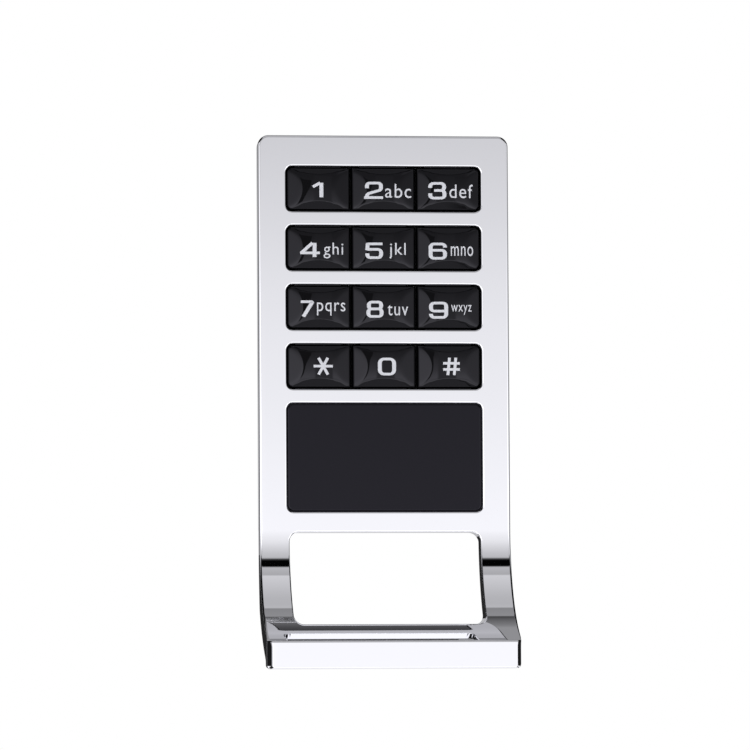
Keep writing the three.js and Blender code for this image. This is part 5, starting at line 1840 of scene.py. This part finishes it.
# Metres from the front of the floor to its back, and its light as mirrored in the object.
FLOOR_LEVELS = (
    (-0.36, 0.7), (-0.16, 0.8), (-0.05, 0.9), (0.02, 1.2), (0.16, 1.2), (0.25, 0.7), (0.36, 0.5),
)
# Heights of the card in metres, and its light: where the plate mirrors it, beside that, and at its left.
CARD_PLATE = (
    (-0.118, 2.7), (-0.065, 2.7), (-0.055, 1.08), (-0.02, 1.05), (0.014, 1.03), (0.037, 0.975),
    (0.055, 0.93), (0.074, 0.895), (0.093, 0.84), (0.112, 0.77), (0.134, 0.7), (0.168, 0.6), (0.2, 0.54),
)
CARD_BESIDE = (
    (-0.118, 2.7), (-0.065, 2.7), (-0.05, 1.8), (-0.02, 1.8), (0, 2.2), (0.02, 1.9), (0.04, 1.5),
    (0.06, 1.3), (0.08, 1.1), (0.1, 0.95), (0.12, 0.74), (0.14, 0.62), (0.16, 0.55), (0.2, 0.45),
)
CARD_LEFT = (
    (-0.118, 2.6), (-0.03, 2.4), (0, 2.6), (0.03, 2.6), (0.06, 2.1), (0.08, 1.75), (0.1, 1.5),
    (0.12, 1.3), (0.14, 1.0), (0.16, 0.65), (0.2, 0.4),
)
# The slanting outline of the flag before the card, in X and Z.
FLAG = (
    (-0.1, 0.18), (-0.01, 0.17), (-0.02, 0.13), (-0.04, 0.095), (-0.06, 0.06), (-0.075, 0.02), (-0.1, 0.0),
)
# A sheet's X and Z corners, its Y and its light: one in front of the card, and one behind the object.
FLAGS = {
    "flag": (FLAG, -0.406, 0.25),
    "rear_flag": (((-0.27, -0.35), (-0.06, -0.35), (-0.06, 0.3), (-0.27, 0.3)), 1.0, 0.02),
}
# A lamp's place, size and power.
LAMPS = {
    "key_light": ((-0.7, -0.9, 0.9), 0.5, 7),
    "fill_light": ((0.9, -0.5, 0.4), 0.6, 3),
    "back_light": ((0.3, 0.9, 0.8), 0.6, 8),
}


def levels(tree: Tree, source: Socket, stops: Sequence[Pair]) -> Socket:
    """Grey light that changes along a value, faintly violet as the photograph's is.

    Args:
        tree: takes the nodes.
        source: the value.
        stops: pairs of a value and the light's linear level there, in order.

    Returns:
        The colour, to be given with a strength of LIGHT_TOP.
    """
    low, high = stops[0][0], stops[-1][0]
    share = add(tree, "MapRange", {"From Min": low, "From Max": high, "Value": source})[0]
    colour = add(tree, "ValToRGB", {"Fac": share})["Color"]
    points = colour.node.color_ramp.elements
    while len(points) < len(stops):
        points.new(1.0)
    for point, (value, level) in zip(points, stops):
        point.position = (value - low) / (high - low)
        grey = level / LIGHT_TOP
        point.color = (grey, grey, min(grey * BLUE_SHARE, 1.0), 1)
    return colour


def emptied(owner: Material | bpy.types.World) -> Tree:
    """The owner's node tree with nothing in it."""
    owner.use_nodes = True
    owner.node_tree.nodes.clear()
    return owner.node_tree


@dataclass
class Studio:
    """Camera, world, card, flags, floor and lamps.

    The chrome shows only what it mirrors, so the world has bands of light and dark by their angle over
    the horizon in front, and a card in front is bright low down and dim high up.
    """

    azimuth: float = -7.08
    elevation: float = -3.37
    roll: float = -0.322
    distance: float = 1.6
    focus: tuple[float, float, float] = (0.0, -8 * MM, 37.8 * MM)
    focus_px: float = 384.4
    px_per_m: float = 3891.8
    sensor: float = 36.0
    soft_shade: str = "#e8ebf0"
    soft_strength: float = 0.55
    side_share: Pair = (0.34, 0.45)
    side_top: Pair = (0.42, 0.34)
    card_y: float = -0.408
    card_half_width: float = 0.36
    plate_edges: tuple[Pair, ...] = ((-0.005, 0.012), (0.12, 0.103))
    left_edge: Pair = (-0.09, -0.11)
    floor_z: float = -0.12
    floor_radius: float = 0.36
    floor_sides: int = 96
    floor_shade: str = "#f4f4f5"
    floor_roughness: float = 0.9
    floor_white: Pair = (0.16, 0.34)
    cloth_slant: Pair = (-0.3, -0.28)
    cloth_depth: Pair = (0.12, 0.09)
    cloth_aside: Pair = (0.055, 0.065)
    cloth_dark: float = 0.98

    def camera(self) -> None:
        """Places the camera at the photograph's angle and aims it at the middle of its frame."""
        data = bpy.data.cameras.new("camera")
        data.sensor_width = self.sensor
        data.lens = self.sensor * self.distance * self.px_per_m / IMAGE_PIXELS
        turn, tilt = math.radians(self.azimuth), math.radians(self.elevation)
        right = Vector((math.cos(turn), math.sin(turn), 0))
        away = (math.sin(turn) * math.cos(tilt), -math.cos(turn) * math.cos(tilt), math.sin(tilt))
        aim = Vector(self.focus) - right * ((self.focus_px - IMAGE_PIXELS / 2) / self.px_per_m)
        made = new_object("camera", data)
        made.location = aim + Vector(away) * self.distance
        level = Euler((QUARTER - tilt, 0, turn)).to_matrix()
        made.rotation_euler = (level @ Matrix.Rotation(math.radians(self.roll), 3, "Z")).to_euler()
        bpy.context.scene.camera = made

    def world(self) -> None:
        """White for the camera, bands of light for reflections, and soft grey light on the rest.

        Well to the side, the bands go by the angle round from the front, and high up there it is dark.
        """
        made = bpy.data.worlds.new("studio")
        bpy.context.scene.world = made
        tree = emptied(made)
        way = add(tree, "TexCoord")["Generated"]
        way = add(tree, "SeparateXYZ", {0: way})
        forward = add(tree, "Math", {0: way["Y"], 1: -1.0}, operation="MULTIPLY")[0]
        aside = add(tree, "Math", {0: way["X"]}, operation="ABSOLUTE")[0]
        turned, low = (
            add(tree, "MapRange", {0: value, 1: a, 2: b}, **SMOOTH)[0]
            for value, (a, b) in ((aside, self.side_share), (way["Z"], self.side_top))
        )
        over, sides = (
            levels(
                tree,
                add(tree, "Math", {0: opposite, 1: forward}, operation="ARCTAN2")[0],
                [(math.radians(degrees), level) for degrees, level in bands],
            )
            for opposite, bands in ((way["Z"], HEIGHT_BANDS), (way["X"], SIDE_BANDS))
        )
        sides = add(tree, "Mix", {0: low, 6: BLACK, 7: sides}, data_type="RGBA")[2]
        mixed = add(tree, "Mix", {0: turned, 6: over, 7: sides}, data_type="RGBA")[2]
        path = add(tree, "LightPath")
        rays = {0: path["Is Camera Ray"], 1: path["Is Transmission Ray"]}
        seen = add(tree, "Math", rays, operation="MAXIMUM")[0]
        soft, bands, white = (
            add(tree, "Background", {"Color": colour, "Strength": strength})[0]
            for colour, strength in (
                (linear(self.soft_shade), self.soft_strength),
                (mixed, LIGHT_TOP),
                (linear("#ffffff"), 1.0),
            )
        )
        lit = add(tree, "MixShader", {0: path["Is Glossy Ray"], 1: soft, 2: bands})[0]
        lit = add(tree, "MixShader", {0: seen, 1: lit, 2: white})[0]
        add(tree, "OutputWorld", {"Surface": lit})

    def panel(self, name: str, corners: Sequence[Pair], y: float, material: Material) -> None:
        """An upright sheet that only reflections see."""
        data = bpy.data.meshes.new(name)
        data.from_pydata([(x, y, z) for x, z in corners], [], [tuple(range(len(corners)))])
        data.materials.append(material)
        made = new_object(name, data)
        made.visible_camera = made.visible_shadow = made.visible_diffuse = made.visible_transmission = False

    def card(self) -> None:
        """The card in front, bright low down and dimmer with height."""
        material = bpy.data.materials.new("card_light")
        tree = emptied(material)
        place = add(tree, "TexCoord")["Object"]
        across, _, up = add(tree, "SeparateXYZ", {0: place})
        start, end, left = (
            add(tree, "MapRange", {0: across, 1: a, 2: b}, **SMOOTH)[0]
            for a, b in (*self.plate_edges, self.left_edge)
        )
        plate = add(tree, "Math", {0: start, 1: end}, operation="MULTIPLY")[0]
        light = levels(tree, up, CARD_BESIDE)
        for share, bands in ((plate, CARD_PLATE), (left, CARD_LEFT)):
            light = {0: share, 6: light, 7: levels(tree, up, bands)}
            light = add(tree, "Mix", light, data_type="RGBA")[2]
        lit = add(tree, "Emission", {"Strength": LIGHT_TOP, "Color": light})[0]
        add(tree, "OutputMaterial", {"Surface": lit})
        low, high, half = CARD_PLATE[0][0], CARD_PLATE[-1][0], self.card_half_width
        self.panel("card", [(-half, low), (half, low), (half, high), (-half, high)], self.card_y, material)

    def flags(self) -> None:
        """A dark flag in front of the card, and one behind the object."""
        for name, (corners, y, level) in FLAGS.items():
            cloth = bpy.data.materials.new(f"{name}_cloth")
            tree = emptied(cloth)
            light = {"Color": linear("#ffffff"), "Strength": level}
            add(tree, "OutputMaterial", {0: add(tree, "Emission", light)[0]})
            self.panel(name, corners, y, cloth)

    def floor(self) -> None:
        """A pale round floor that keeps the object's shadow near it and turns to white further out.

        Mirrored in the object it gives light by its depth, with a dark cloth on either side for the
        dark outlines of the casting.
        """
        material = bpy.data.materials.new("pale_floor")
        material.use_nodes = True
        tree = material.node_tree
        shader = tree.nodes["Principled BSDF"]
        shader.inputs["Base Color"].default_value = linear(self.floor_shade)
        shader.inputs["Roughness"].default_value = self.floor_roughness
        place = add(tree, "TexCoord")["Object"]
        across, depth, _ = add(tree, "SeparateXYZ", {0: place})
        flat = add(tree, "VectorMath", {0: place, 1: (1, 1, 0)}, operation="MULTIPLY")[0]
        away = add(tree, "VectorMath", {0: flat}, operation="LENGTH")["Value"]
        aside = add(tree, "Math", {0: across}, operation="ABSOLUTE")[0]
        slanted = add(tree, "Math", {0: depth, 1: aside}, operation="SUBTRACT")[0]
        far, cloth, *others = (
            add(tree, "MapRange", {0: value, 1: a, 2: b}, **SMOOTH)[0]
            for value, (a, b) in (
                (away, self.floor_white),
                (slanted, self.cloth_slant),
                (depth, self.cloth_depth),
                (aside, self.cloth_aside),
            )
        )
        for edge in others:
            cloth = add(tree, "Math", {0: cloth, 1: edge}, operation="MULTIPLY")[0]
        left_over = {0: cloth, 1: -self.cloth_dark * LIGHT_TOP, 2: LIGHT_TOP}
        left_over = add(tree, "Math", left_over, operation="MULTIPLY_ADD")[0]
        light = {"Color": levels(tree, depth, FLOOR_LEVELS), "Strength": left_over}
        light = add(tree, "Emission", light)[0]
        white = {"Color": linear("#ffffff"), "Strength": 1.0}
        white = add(tree, "Emission", white)[0]
        path = add(tree, "LightPath")
        far = add(tree, "Math", {0: far, 1: path["Is Camera Ray"]}, operation="MULTIPLY")[0]
        lit = add(tree, "MixShader", {0: far, 1: shader.outputs[0], 2: white})[0]
        lit = add(tree, "MixShader", {0: path["Is Glossy Ray"], 1: lit, 2: light})[0]
        tree.links.new(lit, tree.nodes["Material Output"].inputs["Surface"])
        angle = round_angles(self.floor_sides)
        rim = np.stack([np.cos(angle), np.sin(angle), 0 * angle], axis=1) * self.floor_radius
        data = bpy.data.meshes.new("floor")
        data.from_pydata((rim + (0, 0, self.floor_z)).tolist(), [], [tuple(range(len(angle)))])
        data.materials.append(material)
        new_object("floor", data)

    def lamp(self, name: str, place: Sequence[float], size: float, power: float) -> None:
        """A soft square lamp that looks at the object and isn't mirrored in it."""
        data = bpy.data.lights.new(name, "AREA")
        data.size, data.energy = size, power
        made = new_object(name, data)
        made.location = place
        made.rotation_mode = "QUATERNION"
        made.rotation_quaternion = (-Vector(place)).to_track_quat("-Z", "Y")
        made.visible_glossy = False

    def build(self) -> None:
        """Sets the studio up."""
        bpy.context.scene.view_settings.view_transform = "Standard"
        self.camera()
        self.world()
        self.card()
        self.flags()
        self.floor()
        for name, (place, size, power) in LAMPS.items():
            self.lamp(name, place, size, power)
        log.info("studio ready")


def main() -> None:
    """Builds the scene, piece by piece."""
    logging.basicConfig(level=logging.INFO, format="%(name)s: %(message)s")
    Studio().build()
    FrontPlate().build()
    for node, legend in LEGENDS.items():
        key = Key(node)
        key.build()
        Print(node, legend, key).build()
    ReaderWindow().build()
    for node in SCREW_NODES:
        Screw(node).build()
    for k in range(1, 5):
        ThreadInsert(f"thread_insert_{k}").build()
        Cell(f"battery_{k}", nub_up=k in (1, 4)).build()
    Contact("contact_link_rear", "battery_1").build()
    Contact("contact_link_front", "battery_4").build()
    Contact("contact_link_right", "battery_2", up=False).build()
    Contact("contact_minus", "battery_3", up=False, tag=True).build()
    Contact("contact_plus", up=False, tag=True).build()
    Lead("motor_lead", MOTOR_ROUTE, (1, 0, 0)).build()
    Lead("battery_lead", BATTERY_ROUTE, (1, 0, 1)).build()
    for node, kept in KEPT.items():
        kept.dress(node)


if __name__ == "__main__":
    main()
